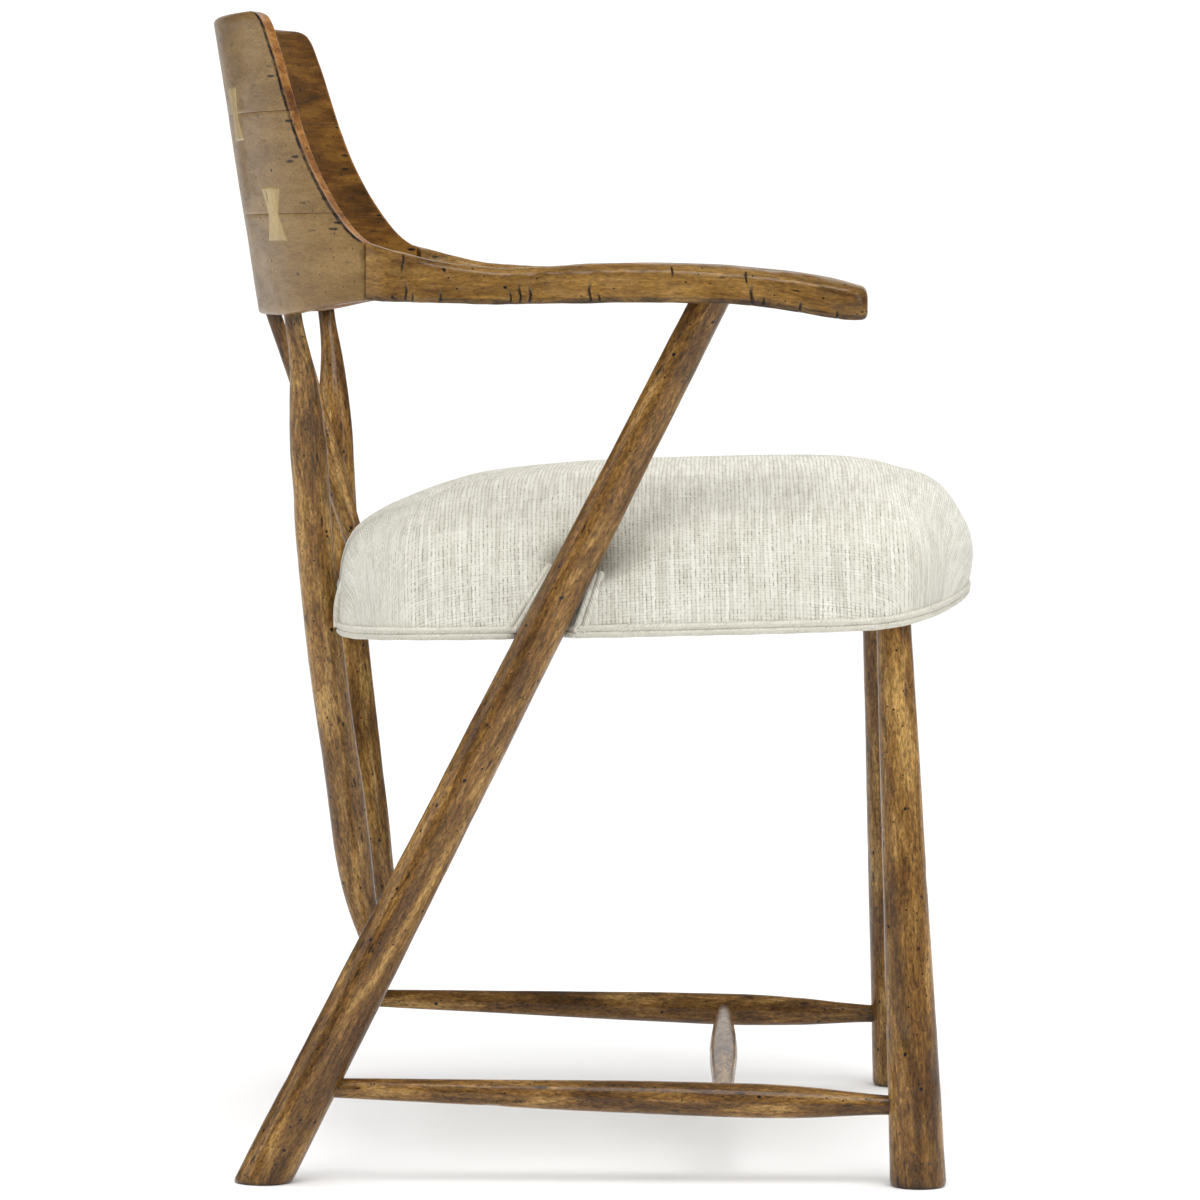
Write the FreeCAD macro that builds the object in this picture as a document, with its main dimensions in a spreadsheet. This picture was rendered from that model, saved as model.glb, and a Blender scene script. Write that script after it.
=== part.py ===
# Stick-back armchair with a barrel back and an upholstered seat.
# Frame: +Z up, floor at z = 0, the sitter faces -Y, symmetric about x = 0,
# the sitter's right hand is on -X.  Millimetres.
import FreeCAD, Part
import Sketcher
import math, os

V = FreeCAD.Vector
Placement = FreeCAD.Placement
Rotation = FreeCAD.Rotation

doc = FreeCAD.newDocument("armchair")
sheet = doc.addObject("Spreadsheet::Sheet", "dims")

DIMS = [
    # barrel back: elliptical plan, leaning rearwards
    ("overall_height", 838.0), ("back_bottom", 620.0), ("back_lean", 0.1533),
    ("back_half_width", 285.0), ("back_depth", 155.0), ("back_centre_y", 96.8),
    ("back_thick", 18.0), ("seam_low", 693.0), ("seam_high", 766.0),
    ("key_depth", 6.0), ("key_half_width", 22.0), ("key_half_height", 20.0), ("key_waist", 11.0),
    ("tier_dowel_dia", 6.0), ("tier_dowel_long", 30.0),
    ("arm_dowel_dia", 6.0), ("arm_dowel_long", 44.0),
    # diagonal legs
    ("diag_foot_dia", 38.6), ("diag_top_dia", 26.0), ("diag_foot_x", 235.0), ("diag_foot_y", 233.8),
    ("diag_top_x", 264.0), ("diag_top_y", -85.8), ("diag_top_z", 630.0), ("diag_tenon_dia", 16.0),
    # front legs
    ("front_foot_dia", 40.4), ("front_top_dia", 24.4), ("front_foot_x", 240.0), ("front_foot_y", -236.0),
    ("front_top_x", 218.0), ("front_top_y", -218.0), ("front_top_z", 398.0), ("front_tenon_dia", 16.0),
    # stretchers
    ("stretcher_end_dia", 14.0), ("stretcher_mid_dia", 24.6), ("stretcher_q1_dia", 18.4),
    ("stretcher_q2_dia", 22.4), ("stretcher_q3_dia", 21.6),
    ("cross_end_dia", 13.0), ("cross_q_dia", 17.6), ("cross_mid_dia", 21.0),
    ("rear_z", 150.0), ("rear_end_dia", 14.0), ("rear_q_dia", 20.0), ("rear_mid_dia", 24.0),
    # back posts and spindles
    ("post_neck_dia", 13.2), ("post_neck2_dia", 16.4), ("post_body_dia", 26.8), ("post_low_dia", 22.0),
    ("post_end_dia", 16.0), ("post_top_tenon_dia", 9.6), ("post_low_tenon_dia", 10.0),
    ("spindle_dia", 11.0), ("spindle_tenon_dia", 8.0),
    # seat frame
    ("seat_tilt", -1.41), ("seat_y", -51.5), ("seat_z", 393.3),
    ("rail_height", 34.0), ("side_rail_thick", 40.0), ("front_rail_thick", 32.0), ("rear_rail_thick", 40.0),
    ("frame_half_width", 239.0), ("frame_front", 211.0), ("frame_rear", 238.0),
    ("rail_tenon_thick", 12.0), ("rail_tenon_high", 18.0), ("rail_tenon_long", 6.0),
    ("block_leg", 60.0), ("block_high", 26.0), ("screw_dia", 4.5), ("screw_head_dia", 9.0),
    ("bolt_dia", 8.0), ("bolt_head_dia", 14.0), ("bolt_head_high", 6.0),
    ("web_wide", 50.0), ("web_thick", 2.0),
    ("cushion_height", 130.0), ("cover_thick", 4.0), ("welt_out", 2.5), ("welt_high", 7.0),
    ("dust_thick", 1.4),
]
# arm sections from the joint to the tip: width, side height, dome height
ARM_SIZES = [(18.0, 39.0, 1.0), (18.2, 31.0, 1.8), (19.0, 24.8, 2.8), (21.5, 21.8, 4.0), (26.0, 22.6, 4.6),
             (35.5, 22.6, 5.0), (43.5, 21.2, 5.4), (48.5, 22.2, 5.6), (48.0, 20.8, 5.0), (38.0, 18.2, 4.0)]
for i, (w, hgt, dome) in enumerate(ARM_SIZES):
    DIMS += [("arm_wide_%d" % i, w), ("arm_side_%d" % i, hgt),
             ("arm_dome_rad_%d" % i, (w * w / 4 + dome * dome) / (2 * dome))]

for row, (alias, number) in enumerate(DIMS, start=1):
    sheet.set("A%d" % row, alias)
    sheet.set("B%d" % row, repr(float(number)))
    sheet.setAlias("B%d" % row, alias)
doc.recompute()


def val(alias):
    return float(sheet.get(alias))


def bind(obj, **props):
    for prop, expr in props.items():
        obj.setExpression(prop, expr)
    return obj


def along(base, direction):
    return Placement(base, Rotation(V(0, 0, 1), direction))


def frame(origin, ex, ez=V(0, 0, 1)):
    """Sketch placement whose x runs along ex and whose y runs along ez."""
    ex = V(ex).normalize()
    return Placement(origin, Rotation(ex, ez, ex.cross(ez), "XYZ"))


def cylinder(name, p0, p1, dia):
    o = doc.addObject("Part::Cylinder", name)
    d = p1.sub(p0)
    o.Height = d.Length
    o.Placement = along(p0, d)
    return bind(o, Radius="%s / 2" % dia)


def cone(name, p0, p1, dia0, dia1):
    o = doc.addObject("Part::Cone", name)
    d = p1.sub(p0)
    o.Height = d.Length
    o.Placement = along(p0, d)
    return bind(o, Radius1="%s / 2" % dia0, Radius2="%s / 2" % dia1)


def box(name, lo, hi, where=None):
    o = doc.addObject("Part::Box", name)
    o.Length, o.Width, o.Height = hi[0] - lo[0], hi[1] - lo[1], hi[2] - lo[2]
    p = Placement(V(*lo), Rotation())
    o.Placement = where.multiply(p) if where else p
    return o


def turned(name, stations):
    """Round piece through (centre, direction, diameter cell) stations."""
    rings = []
    for i, (c, d, dia) in enumerate(stations):
        r = doc.addObject("Part::Circle", "%s_ring%d" % (name, i))
        r.Placement = along(c, d)
        bind(r, Radius="%s / 2" % dia)
        rings.append(r)
    o = doc.addObject("Part::Loft", name)
    o.Sections = rings
    o.Solid = True
    o.Ruled = False
    return o


def cut(name, base, *tools):
    o = doc.addObject("Part::Cut", name)
    o.Base = base
    if len(tools) == 1:
        o.Tool = tools[0]
    else:
        m = doc.addObject("Part::Compound", name + "_tools")
        m.Links = list(tools)
        o.Tool = m
    return o


def fuse(name, *shapes):
    o = doc.addObject("Part::MultiFuse", name)
    o.Shapes = list(shapes)
    o.Refine = True
    return o


def common(name, *shapes):
    o = shapes[0]
    for i, tool in enumerate(shapes[1:], start=2):
        c = doc.addObject("Part::Common", name if i == len(shapes) else "%s_step%d" % (name, i))
        c.Base, c.Tool = o, tool
        o = c
    return o


def group(name, *shapes):
    o = doc.addObject("Part::Compound", name)
    o.Links = list(shapes)
    return o


def mirror(name, source):
    o = doc.addObject("Part::Mirroring", name)
    o.Source = source
    o.Base = V(0, 0, 0)
    o.Normal = V(1, 0, 0)
    return o


def spline(points):
    b = Part.BSplineCurve()
    b.interpolate([V(p[0], p[1], 0) for p in points])
    return b


def line(a, b):
    return Part.LineSegment(V(a[0], a[1], 0), V(b[0], b[1], 0))


def sketch(name, where, edges):
    s = doc.addObject("Sketcher::SketchObject", name)
    for e in edges:
        s.addGeometry(e, False)
    s.Placement = where
    return s


def polygon(points):
    return [line(points[i], points[(i + 1) % len(points)]) for i in range(len(points))]


def extrude(name, profile, forward, back=0.0, direction=None):
    o = doc.addObject("Part::Extrusion", name)
    o.Base = profile
    if direction is None:
        o.DirMode = "Normal"
    else:
        o.DirMode = "Custom"
        o.Dir = direction
    o.LengthFwd, o.LengthRev = forward, back
    o.Solid = True
    o.FaceMakerClass = "Part::FaceMakerBullseye"
    return o


NODES = []


def node(obj, name):
    obj.Label = name
    NODES.append(obj)
    return obj


# ------------------------------------------------------------- barrel back
LEAN = val("back_lean")
A, B, YC = val("back_half_width"), val("back_depth"), val("back_centre_y")
T, ZB = val("back_thick"), val("back_bottom")
lean_dir = V(0, LEAN, 1)


def centre_y(z):
    return YC + LEAN * (z - ZB)


def on_back(x, z, inset=0.0):
    """y of the barrel's surface at x and z, inset from its outer face."""
    return centre_y(z) + (B - inset) * math.sqrt(1 - (x / (A - inset)) ** 2)


def oval(name, shrink):
    e = doc.addObject("Part::Ellipse", name)
    e.MajorRadius, e.MinorRadius = A, B
    e.Placement = Placement(V(0, centre_y(600.0), 600.0), Rotation())
    bind(e, MajorRadius="dims.back_half_width - %s" % shrink, MinorRadius="dims.back_depth - %s" % shrink)
    o = extrude(name + "_solid", e, 260.0, 0.0, lean_dir)
    return o


tube = cut("barrel", oval("barrel_outside", "0"), oval("barrel_inside", "dims.back_thick"))

# the boards' sloping ends are sawn nearly straight across the chair: the end outline lies
# on a plane turned 15 degrees from the side view
TURN = math.radians(15.0)
rim_dir = V(-math.sin(TURN), -math.cos(TURN), 0)
RIM = [(-196, 842), (-186, 839.2), (-177.5, 835.6), (-171.5, 829), (-167.4, 819), (-159.5, 803), (-151.8, 777),
       (-147.8, 765.7), (-143, 753.4), (-135.2, 738), (-125.8, 719.5), (-116.1, 705.7), (-108.7, 694.9), (-95.7, 681.1),
       (-84.8, 673.4), (-70, 667)]
UNDER = [(-56, 633.4), (-82.6, 631.5), (-122, 627.0), (-150, 622.8), (-178, 619.6), (-202, 617)]
rim = sketch("end_outline", frame(V(0, 0, 0), rim_dir), [
    line((-700, 842), RIM[0]), spline(RIM), line(RIM[-1], (-40, 660)), line((-40, 660), (-40, 633.5)),
    line((-40, 633.5), UNDER[0]), spline(UNDER), line(UNDER[-1], (-700, 617)), line((-700, 617), (-700, 842))])
keep_right = extrude("end_right", rim, 700.0, 700.0)
keep_left = mirror("end_left", keep_right)


def tier(name, z0, z1, height):
    slab = box(name + "_slab", (-400, 110, z0), (400, 400, z1))
    bind(slab, Height=height)
    return common(name, tube, slab, keep_right, keep_left)


Z1, Z2, Z3 = val("seam_low"), val("seam_high"), val("overall_height")
low_raw = tier("low_board", ZB, Z1, "dims.seam_low - dims.back_bottom")
mid_raw = tier("mid_board", Z1, Z2, "dims.seam_high - dims.seam_low")
top_raw = tier("top_board", Z2, Z3, "dims.overall_height - dims.seam_high")

# joint between the lower board and each arm, square to the curve
JX, JY = 265.0, 156.5
jn = V(JX / A ** 2, (JY - centre_y(646.0)) / B ** 2, 0).normalize()   # outward, for +x
joint_dir = V(-jn.y, -jn.x, 0)                                        # forwards along the right arm
joint_pt = V(-JX, JY, 0)
ahead = box("ahead_of_joint", (0, -200, 560), (400, 200, 760),
            Placement(joint_pt, Rotation(joint_dir, V(0, 0, 1).cross(joint_dir), V(0, 0, 1), "XYZ")))
low_cut = cut("low_board_right", low_raw, ahead)
low_base = cut("low_board_both", low_cut, mirror("ahead_left", ahead))

# dowels across the two seams, and across the arm joints
tier_pegs = []
for seam, xs in ((Z1, (-220.0, -115.0, 0.0, 115.0, 220.0)), (Z2, (-185.0, -60.0, 0.0, 60.0, 185.0))):
    for x in xs:
        c = V(x, on_back(x, seam, T / 2), seam)
        half = V(lean_dir).normalize().multiply(val("tier_dowel_long") / 2)
        p = cylinder("tier_peg%d" % len(tier_pegs), c.sub(half), c.add(half), "dims.tier_dowel_dia")
        tier_pegs.append(bind(p, Height="dims.tier_dowel_long"))
pegs_low, pegs_high = tier_pegs[:5], tier_pegs[5:]
mid_j = joint_pt.add(V(jn.x, -jn.y, 0).multiply(T / 2))
arm_pegs_right = []
for z in (641.0, 657.0):
    c = V(mid_j.x, mid_j.y, z)
    half = V(joint_dir).multiply(val("arm_dowel_long") / 2)
    p = cylinder("arm_peg%d" % len(arm_pegs_right), c.sub(half), c.add(half), "dims.arm_dowel_dia")
    arm_pegs_right.append(bind(p, Height="dims.arm_dowel_long"))
arm_pegs_left = [mirror("arm_peg_left%d" % i, p) for i, p in enumerate(arm_pegs_right)]

# butterfly keys let into the outer face across the seams
face_layer = cut("key_layer", oval("key_outside", "0"), oval("key_inside", "dims.key_depth"))
KW, KH, KN = val("key_half_width"), val("key_half_height"), val("key_waist")
keys_right = []
for i, (x, z) in enumerate(((115.0, Z2), (180.0, Z1))):
    y = on_back(x, z)
    n = V(-x / A ** 2, (y - centre_y(z)) / B ** 2, 0).normalize()
    ks = sketch("key_outline%d" % i, frame(V(-x, y, z), V(-n.y, n.x, 0)), polygon(
        [(-KW, KH), (KW, KH), (KN, 0), (KW, -KH), (-KW, -KH), (-KN, 0)]))
    keys_right.append(common("key_right%d" % i, face_layer, extrude("key_block%d" % i, ks, 30.0, 30.0)))
keys_left = [mirror("key_left%d" % i, k) for i, k in enumerate(keys_right)]
high_keys, low_keys = [keys_right[0], keys_left[0]], [keys_right[1], keys_left[1]]

# --------------------------------------------------------------------- arms
# (outer x, y), (inner x, y), underside z for each section, right arm on -x
inner0 = (JX - jn.x * T, JY - jn.y * T)
ARM_AT = [((JX, JY), inner0, 631.5), ((281.9, 125.0), (264.4, 120.2), 630.5), ((285.4, 90.0), (266.4, 90.0), 629.5),
          ((286.0, 50.0), (264.5, 50.0), 628.8), ((287.0, 0.0), (261.0, 0.0), 629.6),
          ((288.5, -60.0), (253.0, -60.0), 630.1), ((289.6, -110.0), (246.1, -110.0), 628.4),
          ((290.0, -155.0), (241.5, -155.0), 622.2), ((289.0, -188.0), (241.0, -188.0), 617.8),
          ((284.0, -197.0), (246.0, -197.0), 618.4)]
sections = []
for i, ((ox, oy), (ix, iy), zb) in enumerate(ARM_AT):
    w, h, dome = ARM_SIZES[i]
    arc = Part.Arc(V(w, h, 0), V(w / 2, h + dome, 0), V(0, h, 0))
    s = sketch("arm_section%d" % i, frame(V(-ix, iy, zb), V(ix - ox, oy - iy, 0)),
               [line((0, 0), (w, 0)), line((w, 0), (w, h)), arc, line((0, h), (0, 0))])
    for con in (("Coincident", 0, 1, -1, 1), ("Coincident", 0, 2, 1, 1), ("Coincident", 1, 2, 2, 1),
                ("Coincident", 2, 2, 3, 1), ("Coincident", 3, 2, 0, 1), ("Horizontal", 0), ("Vertical", 1),
                ("Vertical", 3)):
        s.addConstraint(Sketcher.Constraint(*con))
    for label, con, cell in (("wide", ("DistanceX", 0, 1, 0, 2, w), "arm_wide_%d"),
                             ("side", ("DistanceY", 1, 1, 1, 2, h), "arm_side_%d"),
                             ("dome", ("Radius", 2, (w * w / 4 + dome * dome) / (2 * dome)), "arm_dome_rad_%d")):
        k = s.addConstraint(Sketcher.Constraint(*con))
        s.renameConstraint(k, label)
        s.setExpression("Constraints." + label, "dims." + cell % i)
    sections.append(s)
arm_raw = doc.addObject("Part::Loft", "arm_blank")
arm_raw.Sections = sections
arm_raw.Solid = True
arm_raw.Ruled = False

# ------------------------------------------------------------ diagonal legs
foot = V(-val("diag_foot_x"), val("diag_foot_y"), 0)
head = V(-val("diag_top_x"), val("diag_top_y"), val("diag_top_z"))
diag_dir = head.sub(foot).normalize()


def on_diag(z):
    return foot.add(V(diag_dir).multiply(z / diag_dir.z))


shaft = cone("diag_shaft", on_diag(-24.0), on_diag(638.0), "dims.diag_foot_dia", "dims.diag_top_dia")
above_floor = box("above_floor", (-400, -400, 0), (400, 400, 900))
shaft_cut = common("diag_on_floor", shaft, above_floor)
diag_body = cut("diag_under_arm", shaft_cut, arm_raw)
diag_tenon = cylinder("diag_tenon", on_diag(605.0), on_diag(642.0), "dims.diag_tenon_dia")
diag_whole = fuse("diag_whole", diag_body, diag_tenon)

# --------------------------------------------------------------- seat frame
S = Placement(V(0, val("seat_y"), val("seat_z")), Rotation(V(1, 0, 0), val("seat_tilt")))
FW, FF, FR = val("frame_half_width"), val("frame_front"), val("frame_rear")
RH, RB = val("rail_height"), 2.0
ST, FT, RT = val("side_rail_thick"), val("front_rail_thick"), val("rear_rail_thick")

# plan of the upholstered seat, which the frame stays inside
PLAN = [(0, -229.9), (90, -224.6), (160, -212.5), (210, -195), (240, -161), (251.5, -110), (255, -40), (252.5, 40),
        (246, 110), (236, 170), (215, 212), (175, 231), (120, 238), (60, 242), (0, 243)]
PY = 237.0


def plan_outline(name, inset, z):
    fx, fy = (255.0 - inset) / 255.0, (PY - inset) / PY
    half = [(x * fx, y * fy) for x, y in PLAN]
    ring = half + [(-x, y) for x, y in reversed(half[1:-1])]
    b = Part.BSplineCurve()
    b.interpolate([V(x, y, 0) for x, y in ring], PeriodicFlag=True)
    return sketch(name, S.multiply(Placement(V(0, 0, z), Rotation())), [b])


# the seat's lower edge rises towards the front; a body that fills the room from that line down, or up
LIFT = [(-140, 0.0), (-150, 0.1), (-165, 1.0), (-180, 3.2), (-195, 6.4), (-210, 9.8), (-225, 12.4), (-245, 14.6)]


def lifted(name, up, end):
    top = [(y, z + up) for y, z in LIFT]
    return extrude(name, sketch(
        name + "_outline", S.multiply(frame(V(0, 0, 0), V(0, 1, 0))),
        [spline(top), line(top[-1], (-245, end)), line((-245, end), (-140, end)), line((-140, end), top[0])]),
        300.0, 300.0)


front_lift = lifted("front_lift", 0.0, -20.0)
frame_lift = lifted("frame_lift", RB, -20.0)
frame_plan = extrude("frame_plan", plan_outline("frame_plan_outline", val("cover_thick") + 0.8, -5.0), 60.0)
front_bar = bind(box("front_rail_bar", (-FW, -FF, RB), (FW, -FF + FT, RB + RH), S),
                   Length="2 * dims.frame_half_width", Width="dims.front_rail_thick", Height="dims.rail_height")
rear_bar = bind(box("rear_rail_bar", (-FW, FR - RT, RB), (FW, FR, RB + RH), S),
                  Length="2 * dims.frame_half_width", Width="dims.rear_rail_thick", Height="dims.rail_height")
side_bar = bind(box("side_rail_bar", (-FW, -FF + FT, RB), (-FW + ST, FR - RT, RB + RH), S),
                  Length="dims.side_rail_thick", Height="dims.rail_height")
front_blank = cut("front_rail_blank", common("front_rail_shaped", front_bar, frame_plan), frame_lift)
rear_blank = common("rear_rail_blank", rear_bar, frame_plan)
side_blank = cut("side_rail_blank", common("side_rail_shaped", side_bar, frame_plan), frame_lift)
TT, TH, TL = val("rail_tenon_thick"), val("rail_tenon_high"), val("rail_tenon_long")
tx, tz = -FW + ST - TT, RB + RH / 2 - TH / 2
tenon_front = bind(box("side_tenon_front", (tx, -FF + FT - TL, tz), (tx + TT, -FF + FT, tz + TH), S),
                   Length="dims.rail_tenon_thick", Width="dims.rail_tenon_long", Height="dims.rail_tenon_high")
tenon_rear = bind(box("side_tenon_rear", (tx, FR - RT, tz), (tx + TT, FR - RT + TL, tz + TH), S),
                  Length="dims.rail_tenon_thick", Width="dims.rail_tenon_long", Height="dims.rail_tenon_high")
side_whole = fuse("side_rail_whole", side_blank, tenon_front, tenon_rear)
tf_left, tr_left = mirror("tenon_front_left", tenon_front), mirror("tenon_rear_left", tenon_rear)

# --------------------------------------------------------------- front legs
f_foot = V(-val("front_foot_x"), val("front_foot_y"), 0)
f_head = V(-val("front_top_x"), val("front_top_y"), val("front_top_z"))
front_dir = f_head.sub(f_foot).normalize()


def on_front(z):
    return f_foot.add(V(front_dir).multiply(z / front_dir.z))


f_shaft = cone("front_shaft", on_front(-8.0), on_front(412.0), "dims.front_foot_dia", "dims.front_top_dia")
f_floor = common("front_on_floor", f_shaft, above_floor)
over_frame = cut("over_frame_underside", box("over_frame_room", (-400, -400, RB), (400, 400, 200), S), frame_lift)
f_body = cut("front_under_rail", f_floor, over_frame)
f_tenon = cylinder("front_tenon", on_front(380.0), on_front(425.0), "dims.front_tenon_dia")
front_whole = fuse("front_whole", f_body, f_tenon)

# --------------------------------------------------------------- stretchers
a_pt, b_pt = on_diag(69.0), on_front(57.0)
run = b_pt.sub(a_pt)
L = run.Length
rd = V(run).normalize()


def on_run(d):
    return a_pt.add(V(rd).multiply(d))


side_loft = turned("side_swell", [
    (on_run(27.0), rd, "dims.stretcher_end_dia"), (on_run(0.28 * L), rd, "dims.stretcher_q1_dia"),
    (on_run(0.48 * L), rd, "dims.stretcher_q2_dia"), (on_run(0.66 * L), rd, "dims.stretcher_mid_dia"),
    (on_run(0.83 * L), rd, "dims.stretcher_q3_dia"), (on_run(L - 25.0), rd, "dims.stretcher_end_dia")])
side_end_a = cylinder("side_end_rear", on_run(7.0), on_run(28.0), "dims.stretcher_end_dia")
side_end_b = cylinder("side_end_front", on_run(L - 26.0), on_run(L - 6.0), "dims.stretcher_end_dia")
side_str = fuse("side_stretcher_whole", side_end_a, side_loft, side_end_b)

cz = on_run(0.683 * L)
X1 = V(1, 0, 0)
cross_loft = turned("cross_swell", [
    (V(x, cz.y, cz.z), X1, "dims." + d) for x, d in (
        (-208, "cross_end_dia"), (-110, "cross_q_dia"), (0, "cross_mid_dia"), (110, "cross_q_dia"),
        (208, "cross_end_dia"))])
cross_end = cylinder("cross_end_right", V(-206, cz.y, cz.z), V(cz.x + 3.0, cz.y, cz.z), "dims.cross_end_dia")
cross_end_l = mirror("cross_end_left", cross_end)
cross = fuse("cross_whole", cross_end, cross_loft, cross_end_l)

r_pt = on_diag(val("rear_z"))
rear_loft = turned("rear_swell", [
    (V(x, r_pt.y, r_pt.z), X1, "dims." + d) for x, d in (
        (-212, "rear_end_dia"), (-120, "rear_q_dia"), (0, "rear_mid_dia"), (120, "rear_q_dia"),
        (212, "rear_end_dia"))])
rear_end = cylinder("rear_end_right", V(-210, r_pt.y, r_pt.z), V(r_pt.x + 4.0, r_pt.y, r_pt.z),
                    "dims.rear_end_dia")
rear_end_l = mirror("rear_end_left", rear_end)
rear_raw = fuse("rear_whole", rear_end, rear_loft, rear_end_l)

# --------------------------------------------------- back posts and spindles
POST = [(164.6, 216.6, 629, "post_neck_dia"), (160.5, 214.0, 610, "post_neck_dia"),
        (153.0, 210.8, 588, "post_neck2_dia"), (144.5, 208.6, 560, "post_low_dia"),
        (137.0, 206.6, 525, "post_body_dia"), (132.5, 202.6, 455, "post_body_dia"),
        (129.5, 198.0, 402, "post_body_dia"), (123.0, 190.8, 337, "post_body_dia"),
        (111.5, 182.6, 272, "post_body_dia"), (106.0, 177.0, 226, "post_body_dia"),
        (104.2, 170.6, 186, "post_low_dia"), (104.0, 163.6, 158, "post_end_dia")]
pts = [V(-x, y, z) for x, y, z, d in POST]
stations = []
for i, p in enumerate(pts):
    t = pts[max(i - 1, 0)].sub(pts[min(i + 1, len(pts) - 1)]).normalize()
    stations.append((p, t, "dims." + POST[i][3]))
post_loft = turned("post_bow", stations)
post_a = cut("post_under_back", post_loft, low_raw)
post_b = cut("post_on_stretcher", post_a, rear_raw)
pt_top = V(-162.8, on_back(162.8, 620.0, T / 2), 620.0)
half_up = V(lean_dir).multiply(22.0)
post_tenon_top = cylinder("post_tenon_top", V(-162.0, 214.6, 606.0), pt_top.add(half_up), "dims.post_top_tenon_dia")
low_dir = pts[-1].sub(pts[-2]).normalize()
post_tenon_low = cylinder("post_tenon_low", pts[-1].sub(V(low_dir).multiply(16.0)),
                          pts[-1].add(V(low_dir).multiply(9.0)), "dims.post_low_tenon_dia")
post_whole = fuse("post_whole", post_b, post_tenon_top, post_tenon_low)

sp_top = V(-80.0, on_back(80.0, 621.0, T / 2), 621.0)
sp_low = V(-16.0, 172.0, 416.0)
sp_dir = sp_top.sub(sp_low).normalize()
sp_end = sp_low.sub(V(sp_dir).multiply(12.0))
sp_shaft = cylinder("spindle_shaft", sp_end, sp_top.add(V(sp_dir).multiply(6.0)), "dims.spindle_dia")
sp_cut = cut("spindle_under_back", sp_shaft, low_raw)
sp_tenon = cylinder("spindle_tenon", sp_top.sub(V(sp_dir).multiply(20.0)), sp_top.add(V(sp_dir).multiply(15.0)),
                    "dims.spindle_tenon_dia")
spindle = fuse("spindle_whole", sp_cut, sp_tenon)

# -------------------------------------------------------- bolts and screws
bz = 412.0
ba = on_diag(bz)
rail_in = -FW + ST
bolt_side_shank = cylinder("side_bolt_shank", V(rail_in, ba.y, bz), V(-262.0, ba.y, bz), "dims.bolt_dia")
bolt_side_head = bind(cylinder("side_bolt_head", V(rail_in, ba.y, bz), V(rail_in + 6.0, ba.y, bz),
                               "dims.bolt_head_dia"), Height="dims.bolt_head_high")
bolt_side = fuse("side_bolt", bolt_side_shank, bolt_side_head)
rp = V(-129.8, 0, 405.0)
rear_in = S.multVec(V(0, FR - RT, 12.0)).y
bolt_rear_shank = cylinder("rear_bolt_shank", V(rp.x, rear_in - 2.0, rp.z), V(rp.x, 206.0, rp.z), "dims.bolt_dia")
bolt_rear_head = bind(cylinder("rear_bolt_head", V(rp.x, rear_in - 2.0, rp.z), V(rp.x, rear_in - 8.0, rp.z),
                               "dims.bolt_head_dia"), Height="dims.bolt_head_high")
bolt_rear = fuse("rear_bolt", bolt_rear_shank, bolt_rear_head)
bolt_side_l, bolt_rear_l = mirror("side_bolt_left", bolt_side), mirror("rear_bolt_left", bolt_rear)

BL = val("block_leg")
x0 = -FW + ST
blocks, screws, shanks = [], [], []
for i, (yc, s) in enumerate(((-FF + FT, 1.0), (FR - RT, -1.0))):
    tri = sketch("block_outline%d" % i, S.multiply(Placement(V(0, 0, 6.0), Rotation())),
                 polygon([(x0, yc), (x0 + BL, yc), (x0, yc + s * BL)]))
    blank = bind(extrude("block_blank%d" % i, tri, 26.0), LengthFwd="dims.block_high")
    tools = []
    for k, (p0, p1, pb) in enumerate((
            (V(x0 + 24, yc + s * 9, 24), V(x0 - 16, yc + s * 9, 24), V(x0 + 58, yc + s * 9, 24)),
            (V(x0 + 12, yc + s * 24, 13), V(x0 + 12, yc - s * 16, 13), V(x0 + 12, yc + s * 58, 13)))):
        p0, p1, pb = S.multVec(p0), S.multVec(p1), S.multVec(pb)
        d = p1.sub(p0).normalize()
        sh = cylinder("screw_shank%d%d" % (i, k), p0, p1, "dims.screw_dia")
        hd = cylinder("screw_head%d%d" % (i, k), p0, p0.sub(V(d).multiply(3.0)), "dims.screw_head_dia")
        bore = cylinder("screw_bore%d%d" % (i, k), p0, pb, "dims.screw_head_dia")
        screws.append(fuse("screw%d%d" % (i, k), sh, hd))
        shanks.append(sh)
        tools += [sh, bore]
    blocks.append(cut("block%d" % i, blank, *tools))

# ------------------------------------------------------------------ cushion
SIDE = [(-229.9, 10), (-229.0, 30), (-226.0, 50), (-217, 79), (-206, 95), (-172, 110.5), (-128, 115), (-26, 117),
        (45, 115), (168, 103), (216, 86), (235, 70), (242, 45), (243.5, 10)]
CROWN = [(-255, 10), (-253.5, 40), (-247, 66), (-228, 88), (-190, 102.5), (-120, 112.5), (0, 117), (120, 112.5),
         (190, 102.5), (228, 88), (247, 66), (253.5, 40), (255, 10)]

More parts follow.
